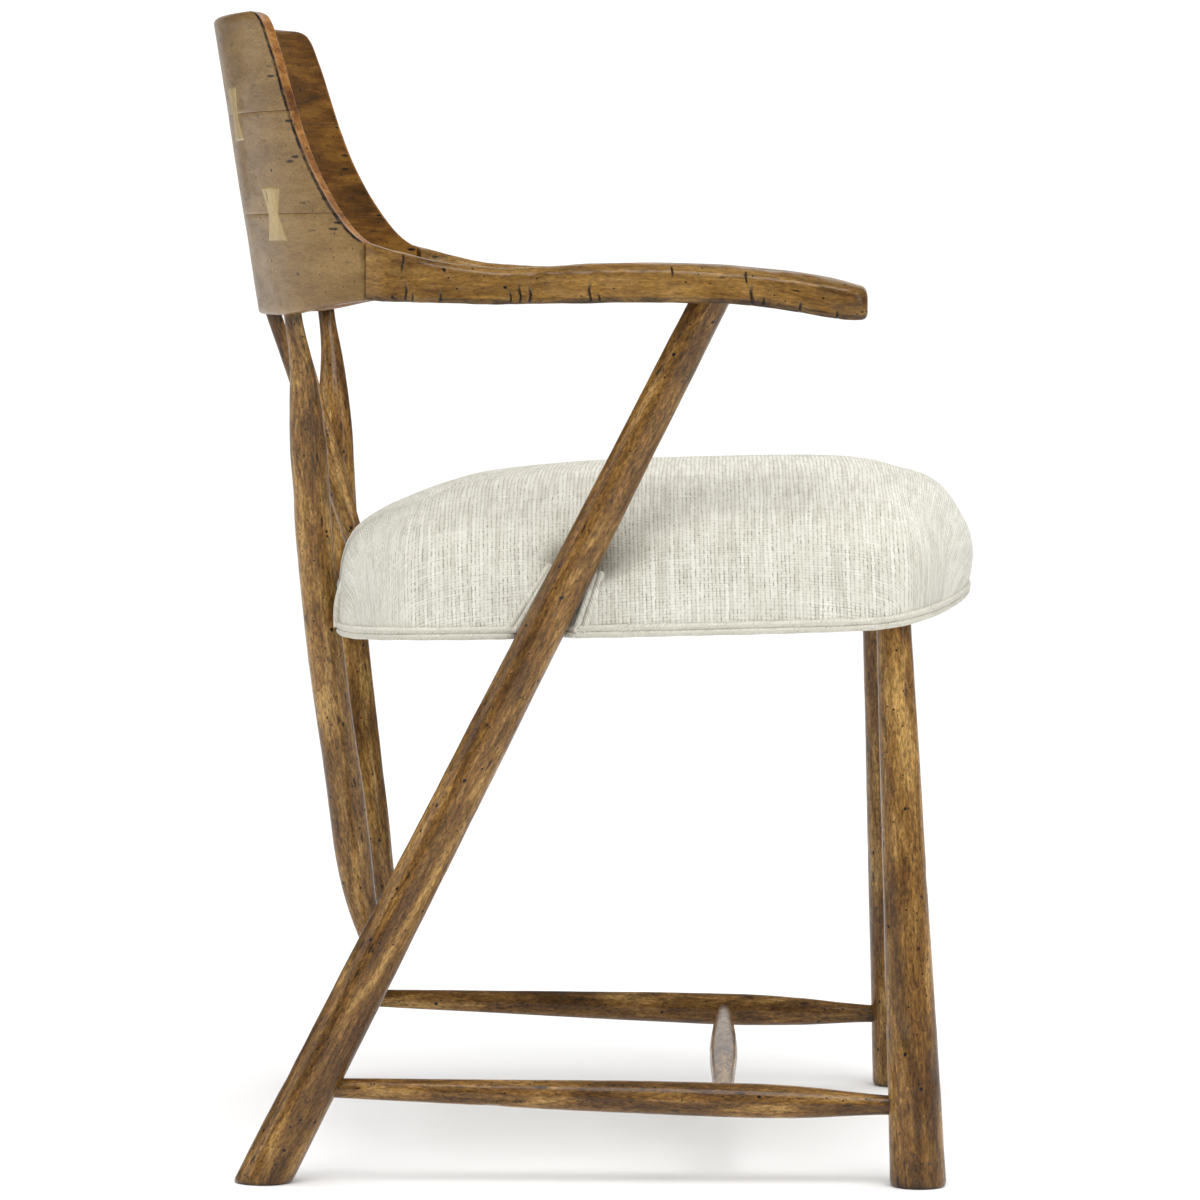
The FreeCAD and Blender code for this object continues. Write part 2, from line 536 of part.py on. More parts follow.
def cushion(name, inset, low):
    fx, fy = (255.0 - inset) / 255.0, (PY - inset) / PY
    plan = extrude(name + "_plan", plan_outline(name + "_outline", inset, low), 130.0 - low)
    bind(plan, LengthFwd="dims.cushion_height - (%g)" % low)
    sp = [(y * fy, max(z - inset, 10)) for y, z in SIDE]
    side = extrude(name + "_side", sketch(
        name + "_side_outline", S.multiply(frame(V(0, 0, 0), V(0, 1, 0))),
        [spline(sp), line(sp[-1], (sp[-1][0] + 6, low)), line((sp[-1][0] + 6, low), (sp[0][0] - 6, low)),
         line((sp[0][0] - 6, low), sp[0])]), 300.0, 300.0)
    cp = [(x * fx, max(z - inset, 10)) for x, z in CROWN]
    crown = extrude(name + "_crown", sketch(
        name + "_crown_outline", S.multiply(frame(V(0, 0, 0), V(1, 0, 0))),
        [spline(cp), line(cp[-1], (cp[-1][0] + 6, low)), line((cp[-1][0] + 6, low), (cp[0][0] - 6, low)),
         line((cp[0][0] - 6, low), cp[0])]), 300.0, 300.0)
    return common(name, plan, side, crown)


outer = cushion("cushion_outside", 0.0, 0.0)
inner = cushion("cushion_inside", val("cover_thick"), -10.0)
core = cushion("cushion_core", val("cover_thick") + 0.8, 0.0)

# clear ways in the upholstery for the legs, posts and spindles
way_diag = cone("way_diag", on_diag(300.0), on_diag(560.0), "38", "33")
way_post = cylinder("way_post", V(-127.2, 192.2, 360), V(-134.8, 204.9, 500), "31")
way_spin = cylinder("way_spindle", sp_end, sp_top, "12.4")
way_leg = cylinder("way_leg", on_front(380.0), on_front(410.0), "27")
way_leg_left = mirror("way_leg_left", way_leg)
ways = [way_diag, way_post, way_spin]
ways += [mirror(w.Name + "_left", w) for w in ways]
frame_room = box("frame_room", (-FW, -300, -20), (FW, 300, RB + RH + 2 * val("web_thick")), S)

cover = cut("cover_whole", cut("cover_lifted", cut("cover_shell", outer, inner), front_lift), way_leg, way_leg_left, *ways)
foam = cut("foam_whole", cut("foam_lifted", core, front_lift), frame_room, *ways)
welt_ring = cut("welt_ring",
                bind(extrude("welt_outside", plan_outline("welt_outline", -val("welt_out"), 0.0), 24.0),
                     LengthFwd="dims.welt_high + 17"),
                extrude("welt_hole", plan_outline("welt_inline", 0.0, -5.0), 60.0))
over_welt = [lifted("over_welt_front", val("welt_high"), 40.0),
             box("over_welt_rear", (-300, -140, val("welt_high")), (300, 300, 40), S)]
welt = cut("welt_whole", cut("welt_lifted", welt_ring, front_lift, *over_welt), *ways)
dust_plate = bind(box("dust_plate", (-FW + 3, -FF + 3, RB - val("dust_thick")), (FW - 3, FR - 6, RB + 16), S),
                  Height="dims.dust_thick + 16")
under_dust = lifted("under_dust", RB - val("dust_thick"), -20.0)
over_dust = [lifted("over_dust_front", RB, 40.0), box("over_dust_rear", (-300, -140, RB), (300, 300, 40), S)]
dust_sheet = cut("dust_lifted", common("dust_blank", dust_plate, frame_plan), under_dust, *over_dust)
dust = cut("dust_whole", dust_sheet, way_leg, way_leg_left, *ways)

WW, WT, WZ = val("web_wide"), val("web_thick"), RB + RH
# the outer strips stop shorter at the front, where the rail curves back
webs_long = [bind(box("web_long%d" % i, (x - WW / 2, -FF + (18 if abs(x) > 100 else 4), WZ),
                      (x + WW / 2, FR - 22, WZ + WT), S),
                  Length="dims.web_wide", Height="dims.web_thick") for i, x in enumerate((-165, -58, 58, 165))]
webs_cross = [bind(box("web_cross%d" % i, (-FW + 16, y - WW / 2, WZ + WT), (FW - 16, y + WW / 2, WZ + 2 * WT), S),
                   Width="dims.web_wide", Height="dims.web_thick") for i, y in enumerate((-150, -68, 14, 96))]

# --------------------------------------------------------- the finished pieces
right_arm = node(cut("right_arm_piece", arm_raw, diag_tenon, *arm_pegs_right), "right_arm")
node(mirror("left_arm_piece", right_arm), "left_arm")

post_holes = [post_tenon_top, mirror("post_tenon_top_l", post_tenon_top), sp_tenon, mirror("sp_tenon_l", sp_tenon)]
node(cut("lower_tier_piece", low_base, *(pegs_low + arm_pegs_right + arm_pegs_left + low_keys + post_holes)),
     "back_lower_tier")
node(cut("middle_tier_piece", mid_raw, *(tier_pegs + low_keys + high_keys)), "back_middle_tier")
node(cut("crest_piece", top_raw, *(pegs_high + high_keys)), "back_crest")
node(group("keys_piece", *(keys_right + keys_left)), "butterfly_keys")
node(group("tier_dowels_piece", *tier_pegs), "tier_dowels")
node(group("arm_dowels_piece", *(arm_pegs_right + arm_pegs_left)), "arm_dowels")

right_diag = node(cut("right_diag_piece", diag_whole, side_end_a, rear_end, bolt_side_shank), "right_diagonal_leg")
node(mirror("left_diag_piece", right_diag), "left_diagonal_leg")
right_front = node(cut("right_front_piece", front_whole, side_end_b, shanks[0]), "right_front_leg")
node(mirror("left_front_piece", right_front), "left_front_leg")
right_side = node(cut("right_stretcher_piece", side_str, cross_end), "right_side_stretcher")
node(mirror("left_stretcher_piece", right_side), "left_side_stretcher")
node(cross, "cross_stretcher")
node(cut("rear_stretcher_piece", rear_raw, post_tenon_low, mirror("post_tenon_low_l", post_tenon_low)),
     "rear_stretcher")
right_post = node(cut("right_post_piece", post_whole, bolt_rear_shank), "right_back_post")
node(mirror("left_post_piece", right_post), "left_back_post")
right_spindle = node(spindle, "right_back_spindle")
node(mirror("left_spindle_piece", right_spindle), "left_back_spindle")

shanks_left = [mirror("screw_shank_left%d" % i, s) for i, s in enumerate(shanks)]
node(cut("front_rail_piece", front_blank, tenon_front, tf_left, shanks[1], shanks_left[1]), "seat_front_rail")
post_l = mirror("post_body_l", post_loft)
node(cut("rear_rail_piece", rear_blank, tenon_rear, tr_left, shanks[3], shanks_left[3], bolt_rear_shank,
         mirror("rear_shank_l", bolt_rear_shank), sp_shaft, mirror("sp_shaft_l", sp_shaft), post_loft, post_l),
     "seat_rear_rail")
right_rail = node(cut("right_rail_piece", side_whole, f_tenon, bolt_side_shank, shanks[0], shanks[2], shaft),
                  "seat_right_rail")
node(mirror("left_rail_piece", right_rail), "seat_left_rail")
node(group("blocks_piece", *(blocks + [mirror("block_left%d" % i, b) for i, b in enumerate(blocks)])),
     "seat_corner_blocks")
node(group("screws_piece", *(screws + [mirror("screw_left%d" % i, s) for i, s in enumerate(screws)])),
     "corner_block_screws")
node(group("bolts_piece", bolt_side, bolt_rear, bolt_side_l, bolt_rear_l), "rail_bolts")
node(group("webs_long_piece", *webs_long), "webbing_lengthwise")
node(group("webs_cross_piece", *webs_cross), "webbing_crosswise")
node(foam, "seat_foam")
node(cover, "seat_cover")
node(welt, "seat_welt")
node(dust, "dust_cover")

doc.recompute()
bad = [o.Name for o in doc.Objects if "Invalid" in o.State or "Error" in o.State]
if bad:
    raise RuntimeError("failed objects: " + ", ".join(bad))
for o in NODES:
    if o.Shape.isNull() or not o.Shape.isValid() or not o.Shape.Solids:
        raise RuntimeError("no valid solid in " + o.Label)

os.makedirs("parts", exist_ok=True)
for o in NODES:
    o.Shape.exportStep("parts/%s.step" % o.Label)
    b = o.Shape.BoundBox
    print("%-22s solids %2d  volume %10.0f  x %.1f %.1f  y %.1f %.1f  z %.1f %.1f" % (
        o.Label, len(o.Shape.Solids), o.Shape.Volume, b.XMin, b.XMax, b.YMin, b.YMax, b.ZMin, b.ZMax))
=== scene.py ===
import math

import bmesh
import bpy
import numpy as np
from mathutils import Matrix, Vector


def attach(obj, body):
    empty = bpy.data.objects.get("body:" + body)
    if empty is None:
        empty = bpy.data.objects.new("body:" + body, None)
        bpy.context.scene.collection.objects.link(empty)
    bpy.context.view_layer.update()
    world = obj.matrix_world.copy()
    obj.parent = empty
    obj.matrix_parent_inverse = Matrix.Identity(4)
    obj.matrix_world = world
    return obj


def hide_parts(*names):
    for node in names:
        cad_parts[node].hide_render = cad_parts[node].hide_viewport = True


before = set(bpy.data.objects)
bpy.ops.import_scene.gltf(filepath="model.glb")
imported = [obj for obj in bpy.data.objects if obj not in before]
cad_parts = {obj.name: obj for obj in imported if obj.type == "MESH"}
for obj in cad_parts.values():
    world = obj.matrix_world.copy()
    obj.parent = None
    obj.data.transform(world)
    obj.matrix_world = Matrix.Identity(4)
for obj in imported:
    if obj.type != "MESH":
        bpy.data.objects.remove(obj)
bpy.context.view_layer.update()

# All shapes below are worked out in millimetres in the part's frame: +Z up, the sitter faces -Y and
# the sitter's right is on -X. They become metres when the mesh is made.

SCENE = bpy.context.scene
ROOT = "root"
SIDES = (("right", -1.0), ("left", 1.0))


# ---------------------------------------------------------------- numbers

def lin(r, g, b):
    """A display colour, 0 to 255, as linear RGBA."""
    out = []
    for c in (r, g, b):
        c /= 255.0
        out.append(c / 12.92 if c <= 0.04045 else ((c + 0.055) / 1.055) ** 2.4)
    return (*out, 1.0)


def wob(points, size, seed):
    """Smooth, repeatable noise of about -1 to 1. size is a bump's size in the points' unit."""
    rng = np.random.default_rng(seed)
    points = np.asarray(points, float)
    out = np.zeros(points.shape[:-1])
    for _ in range(8):
        d = rng.normal(size=points.shape[-1])
        d /= np.linalg.norm(d)
        f = rng.uniform(0.55, 1.7) * math.pi / size
        out += np.sin(points @ d * f + rng.uniform(0, 2 * math.pi))
    return out / 3.6


def monotone(x, y):
    """Monotone cubic through the points, held flat beyond its ends."""
    x, y = np.asarray(x, float), np.asarray(y, float)
    h = np.diff(x)
    m = np.diff(y) / h
    d = np.zeros_like(y)
    d[0], d[-1] = m[0], m[-1]
    for i in range(1, len(x) - 1):
        if m[i - 1] * m[i] > 0:
            a, b = 2 * h[i] + h[i - 1], h[i] + 2 * h[i - 1]
            d[i] = (a + b) / (a / m[i - 1] + b / m[i])

    def at(t):
        t = np.clip(np.asarray(t, float), x[0], x[-1])
        i = np.clip(np.searchsorted(x, t, side="right") - 1, 0, len(x) - 2)
        s = (t - x[i]) / h[i]
        return ((1 + 2 * s) * (1 - s) ** 2 * y[i] + s * (1 - s) ** 2 * h[i] * d[i]
                + s * s * (3 - 2 * s) * y[i + 1] + s * s * (s - 1) * h[i] * d[i + 1])

    return at


def cubic(x, y):
    """Natural cubic through the points; y may have several columns."""
    x, y = np.asarray(x, float), np.asarray(y, float)
    n, h = len(x), np.diff(x)
    a, r = np.zeros((n, n)), np.zeros_like(y)
    a[0, 0] = a[-1, -1] = 1.0
    for i in range(1, n - 1):
        a[i, i - 1:i + 2] = h[i - 1], 2 * (h[i - 1] + h[i]), h[i]
        r[i] = 6 * ((y[i + 1] - y[i]) / h[i] - (y[i] - y[i - 1]) / h[i - 1])
    m = np.linalg.solve(a, r)

    def at(t):
        t = np.clip(np.asarray(t, float), x[0], x[-1])
        i = np.clip(np.searchsorted(x, t, side="right") - 1, 0, n - 2)
        u, v = t - x[i], x[i + 1] - t
        k = h[i]
        if y.ndim == 2:
            u, v, k = u[..., None], v[..., None], k[..., None]
        return (m[i] * v ** 3 + m[i + 1] * u ** 3) / (6 * k) + (y[i] / k - m[i] * k / 6) * v + (y[i + 1] / k - m[i + 1] * k / 6) * u

    return at


def smooth(t, a, b):
    t = np.clip((np.asarray(t, float) - a) / (b - a), 0, 1)
    return t * t * (3 - 2 * t)


# ---------------------------------------------------------------- meshes

def grid(rows, cols, wrap=True, start=0):
    i = np.arange(rows - 1)[:, None]
    j = np.arange(cols if wrap else cols - 1)[None, :]
    k = (j + 1) % cols
    return (start + np.stack([i * cols + j, i * cols + k, (i + 1) * cols + k, (i + 1) * cols + j], -1)).reshape(-1, 4).tolist()


def piece(name, verts, faces, attrs, material, nodes=(), subdiv=0):
    """One finished piece of the chair, riding on its body."""
    me = bpy.data.meshes.new(name)
    me.from_pydata((np.asarray(verts, float) / 1000.0).tolist(), [], faces)
    for key, val in attrs.items():
        val = np.ascontiguousarray(val, np.float32)
        at = me.attributes.new(key, "FLOAT_VECTOR" if val.ndim == 2 else "FLOAT", "POINT")
        at.data.foreach_set("vector" if val.ndim == 2 else "value", val.ravel())
    bm = bmesh.new()
    bm.from_mesh(me)
    bmesh.ops.recalc_face_normals(bm, faces=bm.faces)
    bm.to_mesh(me)
    bm.free()
    me.shade_smooth()
    me.materials.append(material)
    ob = bpy.data.objects.new(name, me)
    SCENE.collection.objects.link(ob)
    if subdiv:
        mod = ob.modifiers.new("finer", "SUBSURF")
        mod.levels = mod.render_levels = subdiv
    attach(ob, ROOT)
    if nodes:
        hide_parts(*nodes)
    return ob


def close_ring(verts, faces, attrs, first, count, centre, steps=(0.66, 0.33)):
    """Closes a ring of vertices with smaller rings and a middle point. verts and attrs are lists of arrays."""
    ring = verts[first:first + count]
    ring_attrs = {k: v[first:first + count] for k, v in attrs.items()}
    prev = first
    for s in steps:
        at = len(verts)
        verts = np.vstack([verts, centre + (ring - centre) * s])
        for k, v in attrs.items():
            mid = ring_attrs[k].mean(axis=0)
            attrs[k] = np.concatenate([v, mid + (ring_attrs[k] - mid) * s])
        for j in range(count):
            q = (j + 1) % count
            faces.append([prev + j, prev + q, at + q, at + j])
        prev = at
    at = len(verts)
    verts = np.vstack([verts, centre[None]])
    for k, v in attrs.items():
        attrs[k] = np.concatenate([v, ring_attrs[k].mean(axis=0)[None]])
    for j in range(count):
        faces.append([prev + j, prev + (j + 1) % count, at])
    return verts, faces, attrs


# ---------------------------------------------------------------- materials

class Net:
    """Builds a material's node tree."""

    def __init__(self, name):
        self.mat = bpy.data.materials.new(name)
        self.mat.use_nodes = True
        self.nt = self.mat.node_tree
        self.nt.nodes.clear()

    def node(self, kind, ins=None, **props):
        nd = self.nt.nodes.new(kind)
        for k, v in props.items():
            setattr(nd, k, v)
        for k, v in (ins or {}).items():
            self.put(nd.inputs[k], v)
        return nd

    def put(self, sock, v):
        if isinstance(v, bpy.types.NodeSocket):
            self.nt.links.new(v, sock)
        else:
            sock.default_value = v

    def math(self, op, a, b=None, c=None, clamp=False):
        nd = self.nt.nodes.new("ShaderNodeMath")
        nd.operation, nd.use_clamp = op, clamp
        for s, v in zip(nd.inputs, (a, b, c)):
            if v is not None:
                self.put(s, v)
        return nd.outputs[0]

    def attr(self, name, out="Fac"):
        return self.node("ShaderNodeAttribute", attribute_name=name).outputs[out]

    def scaled(self, vec, scale):
        nd = self.node("ShaderNodeVectorMath", operation="MULTIPLY")
        self.put(nd.inputs[0], vec)
        nd.inputs[1].default_value = scale
        return nd.outputs[0]

    def noise(self, vec, scale, detail=3.0, rough=0.55, distort=0.0):
        nd = self.node("ShaderNodeTexNoise", {"Vector": self.scaled(vec, scale), "Scale": 1.0, "Detail": detail, "Roughness": rough, "Distortion": distort})
        return nd.outputs["Fac"]

    def cells(self, vec, scale):
        nd = self.node("ShaderNodeTexVoronoi", {"Vector": self.scaled(vec, scale), "Scale": 1.0})
        return nd.outputs["Distance"]

    def step(self, v, a, b, lo=0.0, hi=1.0):
        nd = self.node("ShaderNodeMapRange", interpolation_type="SMOOTHSTEP")
        self.put(nd.inputs["Value"], v)
        nd.inputs["From Min"].default_value, nd.inputs["From Max"].default_value = a, b
        nd.inputs["To Min"].default_value, nd.inputs["To Max"].default_value = lo, hi
        return nd.outputs["Result"]

    def ramp(self, fac, stops):
        nd = self.node("ShaderNodeValToRGB", {"Fac": fac})
        els = nd.color_ramp.elements
        while len(els) < len(stops):
            els.new(0.5)
        for e, (p, c) in zip(els, stops):
            e.position, e.color = p, c
        return nd.outputs["Color"]

    def mix(self, fac, a, b, blend="MIX"):
        nd = self.node("ShaderNodeMix", data_type="RGBA", blend_type=blend)
        self.put(nd.inputs["Factor"], fac)
        self.put(nd.inputs[6], a)
        self.put(nd.inputs[7], b)
        return nd.outputs[2]

    def finish(self, color, rough, height=None, strength=0.4, distance=0.001, **sockets):
        ins = {"Base Color": color, "Roughness": rough}
        if height is not None:
            ins["Normal"] = self.node("ShaderNodeBump", {"Height": height, "Strength": strength, "Distance": distance}).outputs["Normal"]
        ins.update(sockets)
        sh = self.node("ShaderNodeBsdfPrincipled", ins)
        out = self.node("ShaderNodeOutputMaterial")
        self.nt.links.new(sh.outputs[0], out.inputs["Surface"])
        return self.mat


def wood(name, dark, mid, light, blot=0.5, holes=1.0, rim=None, inner=None, coat=0.42, coat_rough=0.15, gloss=(0.36, 0.56), ink=0.0, dashes=1.0, spread=1.0, speckle=1.0):
    """Lacquered timber with streaked grain, mottling, pores, worm holes, dark flecks and worn edges.
    gp is the grain's own place: x along the grain, y and z across it, in metres."""
    n = Net(name)
    gp = n.attr("gp", "Vector")
    mark, edge = n.attr("mark"), n.attr("edge")
    slow = n.noise(gp, (9.0, 38.0, 38.0), 3.0, 0.55, 0.7)
    streak = n.noise(gp, (26.0, 210.0, 210.0), 5.0, 0.70, 0.7)
    mottle = n.noise(gp, (42.0, 120.0, 120.0), 5.0, 0.68, 1.0)
    speck = n.noise(gp, (230.0, 680.0, 680.0), 3.0, 0.65, 0.5)
    fine = n.noise(gp, (110.0, 900.0, 900.0), 3.0, 0.6)
    tone = n.math("ADD", n.attr("tone"), n.math("MULTIPLY_ADD", streak, 0.42, n.math("MULTIPLY", slow, 0.58)))

    def shades(c):
        return n.ramp(tone, [(0.5 - 0.11 * spread, lin(*c[0])), (0.5, lin(*c[1])), (0.5 + 0.11 * spread, lin(*c[2]))])

    col = shades((dark, mid, light))
    if rim:
        col = n.mix(n.attr("rim"), col, shades(rim))
    if inner:
        col = n.mix(n.attr("inner"), col, shades(inner))
    shade = tuple(int(c * 0.62) for c in dark)
    col = n.mix(n.step(mottle, 0.51, 0.70, 0.0, blot), col, lin(*shade))
    col = n.mix(1.0, col, n.step(speck, 0.30, 0.70, 1.0 + 0.62 * speckle, 1.0 - 0.58 * speckle), "MULTIPLY")
    pores = n.step(fine, 0.57, 0.70, 0.0, 0.5 * speckle)
    col = n.mix(pores, col, lin(*shade))
    torn = n.node("ShaderNodeTexNoise", {"Vector": n.scaled(gp, (420.0, 420.0, 420.0)), "Scale": 1.0, "Detail": 2.0})
    ragged = n.node("ShaderNodeVectorMath", operation="MULTIPLY_ADD")
    n.put(ragged.inputs[0], torn.outputs["Color"])
    ragged.inputs[1].default_value = (0.0022, 0.0016, 0.0016)
    n.put(ragged.inputs[2], gp)
    pit = ragged.outputs[0]
    hole = n.step(n.cells(pit, (58.0, 66.0, 66.0)), 0.06, 0.10, holes, 0.0)
    pin = n.step(n.cells(pit, (135.0, 150.0, 150.0)), 0.07, 0.13, holes, 0.0)
    hole = n.math("MAXIMUM", hole, pin)
    dash = n.step(n.cells(pit, (26.0, 105.0, 105.0)), 0.07, 0.15, 0.85 * dashes, 0.0)
    col = n.mix(dash, col, lin(34, 22, 12))
    col = n.mix(hole, col, lin(16, 11, 8))
    if ink:
        # short dark strokes along the grain, thickest near the cut edge
        stroke = n.node("ShaderNodeTexVoronoi", {"Vector": n.scaled(pit, (23.0, 140.0, 1.0)), "Scale": 1.0}, voronoi_dimensions="2D")
        chance = n.node("ShaderNodeSeparateColor", {"Color": stroke.outputs["Color"]}).outputs[0]
        line = n.step(stroke.outputs["Distance"], 0.10, 0.17, ink, 0.0)
        line = n.math("MULTIPLY", line, n.step(chance, 0.40, 0.37))
        line = n.math("MULTIPLY", line, n.math("SUBTRACT", n.attr("near"), n.attr("rim"), clamp=True))
        col = n.mix(line, col, lin(16, 12, 10))
        hole = n.math("MAXIMUM", hole, n.math("MULTIPLY", line, 0.6))
    worn = n.math("MULTIPLY", edge, n.step(mottle, 0.36, 0.60, 0.35, 0.95))
    col = n.mix(worn, col, lin(26, 17, 10))
    col = n.mix(mark, col, lin(16, 11, 7))
    rough = n.step(n.math("ADD", mottle, n.math("MULTIPLY", hole, 0.6)), 0.3, 0.8, *gloss)
    height = n.math("MULTIPLY_ADD", streak, 0.4, n.math("MULTIPLY", mottle, 0.6))
    height = n.math("MULTIPLY_ADD", speck, -0.35 * speckle, height)
    height = n.math("SUBTRACT", height, n.math("MULTIPLY", pores, 0.5))
    height = n.math("SUBTRACT", height, n.math("MULTIPLY", hole, 1.6))
    height = n.math("SUBTRACT", height, n.math("MULTIPLY", dash, 0.6))
    return n.finish(col, rough, height, 0.4, 0.0009, **{"Coat Weight": coat, "Coat Roughness": coat_rough, "Specular IOR Level": 0.12})


def linen(name, base, pale, deep, pitch=0.0029):
    """Slubby plain weave. pq is the cloth's own place, in metres: warp across p and weft across q."""
    n = Net(name)
    pq = n.attr("pq", "Vector")
    own = n.node("ShaderNodeSeparateXYZ", {"Vector": pq})
    drift_p = n.noise(pq, (78.0, 6.0, 40.0), 3.0, 0.55)
    drift_q = n.noise(pq, (6.0, 78.0, 40.0), 3.0, 0.55)
    p = n.math("MULTIPLY_ADD", drift_p, 0.0056 / pitch, n.math("MULTIPLY", own.outputs[0], 1.0 / pitch))
    q = n.math("MULTIPLY_ADD", drift_q, 0.0046 / (0.8 * pitch), n.math("MULTIPLY", own.outputs[1], 1.0 / (0.8 * pitch)))
    fp, fq = n.math("FLOOR", p), n.math("FLOOR", q)
    across = n.math("SINE", n.math("MULTIPLY", n.math("FRACT", p), math.pi))
    along = n.math("SINE", n.math("MULTIPLY", n.math("FRACT", q), math.pi))
    odd = n.math("ABSOLUTE", n.math("MODULO", n.math("ADD", fp, fq), 2.0))
    warp = n.math("MULTIPLY", across, n.math("MULTIPLY_ADD", along, 0.45, 0.55))
    weft = n.math("MULTIPLY", along, n.math("MULTIPLY_ADD", across, 0.45, 0.55))
    even = n.math("SUBTRACT", 1.0, odd)

    def yarn(thread, along, seed):
        """Each thread's own thickness and shade, changing slowly along its length."""
        at = n.node("ShaderNodeCombineXYZ", {"X": n.math("MULTIPLY", thread, 5.313), "Y": n.math("MULTIPLY", along, 0.045), "Z": seed})
        return n.node("ShaderNodeTexNoise", {"Vector": at.outputs[0], "Scale": 1.0, "Detail": 2.0, "Roughness": 0.6}).outputs["Fac"]

    yp, yq = yarn(fp, q, 3.3), yarn(fq, p, 17.7)
    thread = n.math("ADD", n.math("MULTIPLY", warp, odd), n.math("MULTIPLY", weft, even))
    fleck = n.noise(pq, (520.0, 300.0, 300.0), 2.0, 0.6)
    cloud = n.noise(pq, (11.0, 11.0, 11.0), 3.0, 0.5)
    rag = n.noise(pq, (400.0, 250.0, 200.0), 3.0, 0.65)
    worn = n.noise(pq, (190.0, 330.0, 60.0), 3.0, 0.6)
    loose = n.step(n.noise(pq, (62.0, 44.0, 30.0), 3.0, 0.6), 0.34, 0.62, 0.48, 1.0)
    gap_p = n.math("MULTIPLY", n.math("MULTIPLY", n.step(across, 0.08, 0.72, 1.0, 0.0), n.step(rag, 0.40, 0.60, 0.10, 1.0)), loose)
    gap_q = n.math("MULTIPLY", n.math("MULTIPLY", n.step(along, 0.05, 0.62, 1.0, 0.0), n.step(worn, 0.40, 0.62, 0.04, 0.62)), loose)
    col = n.mix(n.step(yp, 0.48, 0.68, 0.0, 0.5), lin(*base), lin(*pale))
    col = n.mix(n.step(yp, 0.48, 0.34, 0.0, 0.22), col, lin(*deep))
    col = n.mix(gap_p, col, lin(*deep))
    col = n.mix(gap_q, col, lin(*deep))
    col = n.mix(n.math("MULTIPLY", n.step(yq, 0.55, 0.68, 0.0, 0.34), n.step(along, 0.35, 0.8)), col, lin(*pale))
    col = n.mix(n.step(fleck, 0.62, 0.76, 0.0, 0.40), col, lin(150, 145, 132))
    col = n.mix(n.step(cloud, 0.35, 0.7, 0.0, 0.10), col, lin(*deep))
    # painted shade: the shade attribute darkens the cloth in its folds and beside the legs
    col = n.mix(n.attr("shade"), col, lin(104, 97, 80))
    height = n.math("MULTIPLY_ADD", yp, 0.8, thread)
    height = n.math("MULTIPLY_ADD", yq, 0.5, height)
    height = n.math("MULTIPLY_ADD", gap_p, -0.7, height)
    rough = n.step(thread, 0.0, 1.0, 0.96, 0.84)
    return n.finish(col, rough, height, 0.45, 0.0007, **{"Sheen Weight": 0.12, "Sheen Roughness": 0.5, "Specular IOR Level": 0.2})


def plain_weave(name, a, b, pitch, rough=0.9):
    """Plain hidden cloth or webbing, woven across the object's own axes."""
    n = Net(name)
    at = n.node("ShaderNodeTexCoord").outputs["Object"]
    sep = n.node("ShaderNodeSeparateXYZ", {"Vector": n.scaled(at, (1.0 / pitch, 1.0 / pitch, 1.0 / pitch))})
    s = n.math("SINE", n.math("MULTIPLY", n.math("ADD", sep.outputs[0], sep.outputs[2]), math.pi * 2))
    t = n.math("SINE", n.math("MULTIPLY", n.math("SUBTRACT", sep.outputs[1], sep.outputs[2]), math.pi * 2))
    h = n.math("MULTIPLY", s, t)
    spots = n.noise(at, (160.0, 160.0, 160.0), 3.0)
    col = n.mix(n.step(h, -0.7, 0.8), lin(*a), lin(*b))
    col = n.mix(n.step(spots, 0.4, 0.7, 0.0, 0.4), col, lin(*a))
    return n.finish(col, n.step(spots, 0.2, 0.8, rough - 0.08, rough), h, 0.5, 0.0005)


def hidden_timber(name, dark, mid, light):
    """Plain planed timber for the pieces inside the seat."""
    n = Net(name)
    at = n.node("ShaderNodeTexCoord").outputs["Object"]
    streak = n.noise(at, (16.0, 120.0, 160.0), 5.0, 0.6, 0.6)
    fine = n.noise(at, (120.0, 900.0, 900.0), 2.0)
    col = n.ramp(streak, [(0.35, lin(*dark)), (0.5, lin(*mid)), (0.65, lin(*light))])
    col = n.mix(n.step(fine, 0.6, 0.72, 0.0, 0.4), col, lin(*dark))
    return n.finish(col, n.step(streak, 0.3, 0.7, 0.7, 0.55), streak, 0.3, 0.0006)


def plated(name):
    """Zinc-plated steel."""
    n = Net(name)
    at = n.node("ShaderNodeTexCoord").outputs["Object"]
    spangle = n.noise(at, (420.0, 420.0, 420.0), 3.0)
    col = n.mix(n.step(spangle, 0.3, 0.7), lin(150, 150, 148), lin(196, 196, 192))
    return n.finish(col, n.step(spangle, 0.3, 0.7, 0.28, 0.46), spangle, 0.15, 0.0003, Metallic=1.0)


TURNED = wood("turned_timber", (76, 50, 21), (117, 83, 38), (162, 127, 72), speckle=0.8)
ARM = wood("arm_timber", (80, 53, 21), (120, 87, 38), (149, 113, 57), blot=0.34, spread=1.15, speckle=0.5)
BACK = wood("back_timber", (105, 80, 42), (121, 93, 50), (135, 107, 62), coat=0.27, blot=0.2, holes=0.8, ink=1.0, dashes=0.35, spread=1.2, speckle=0.28,
            rim=((84, 47, 14), (128, 80, 28), (164, 115, 57)), inner=((56, 34, 7), (89, 56, 14), (123, 84, 28)))
KEY = wood("key_timber", (142, 118, 66), (158, 133, 77), (172, 148, 93), blot=0.12, holes=0.25, speckle=0.25)
LINEN = linen("linen", (207, 205, 193), (225, 224, 215), (136, 132, 117))
CORD_LINEN = linen("linen_cord", (207, 204, 191), (222, 220, 210), (160, 156, 141), pitch=0.0019)
FRAME_WOOD = hidden_timber("frame_timber", (150, 118, 78), (182, 148, 104), (204, 174, 130))
STEEL = plated("plated_steel")
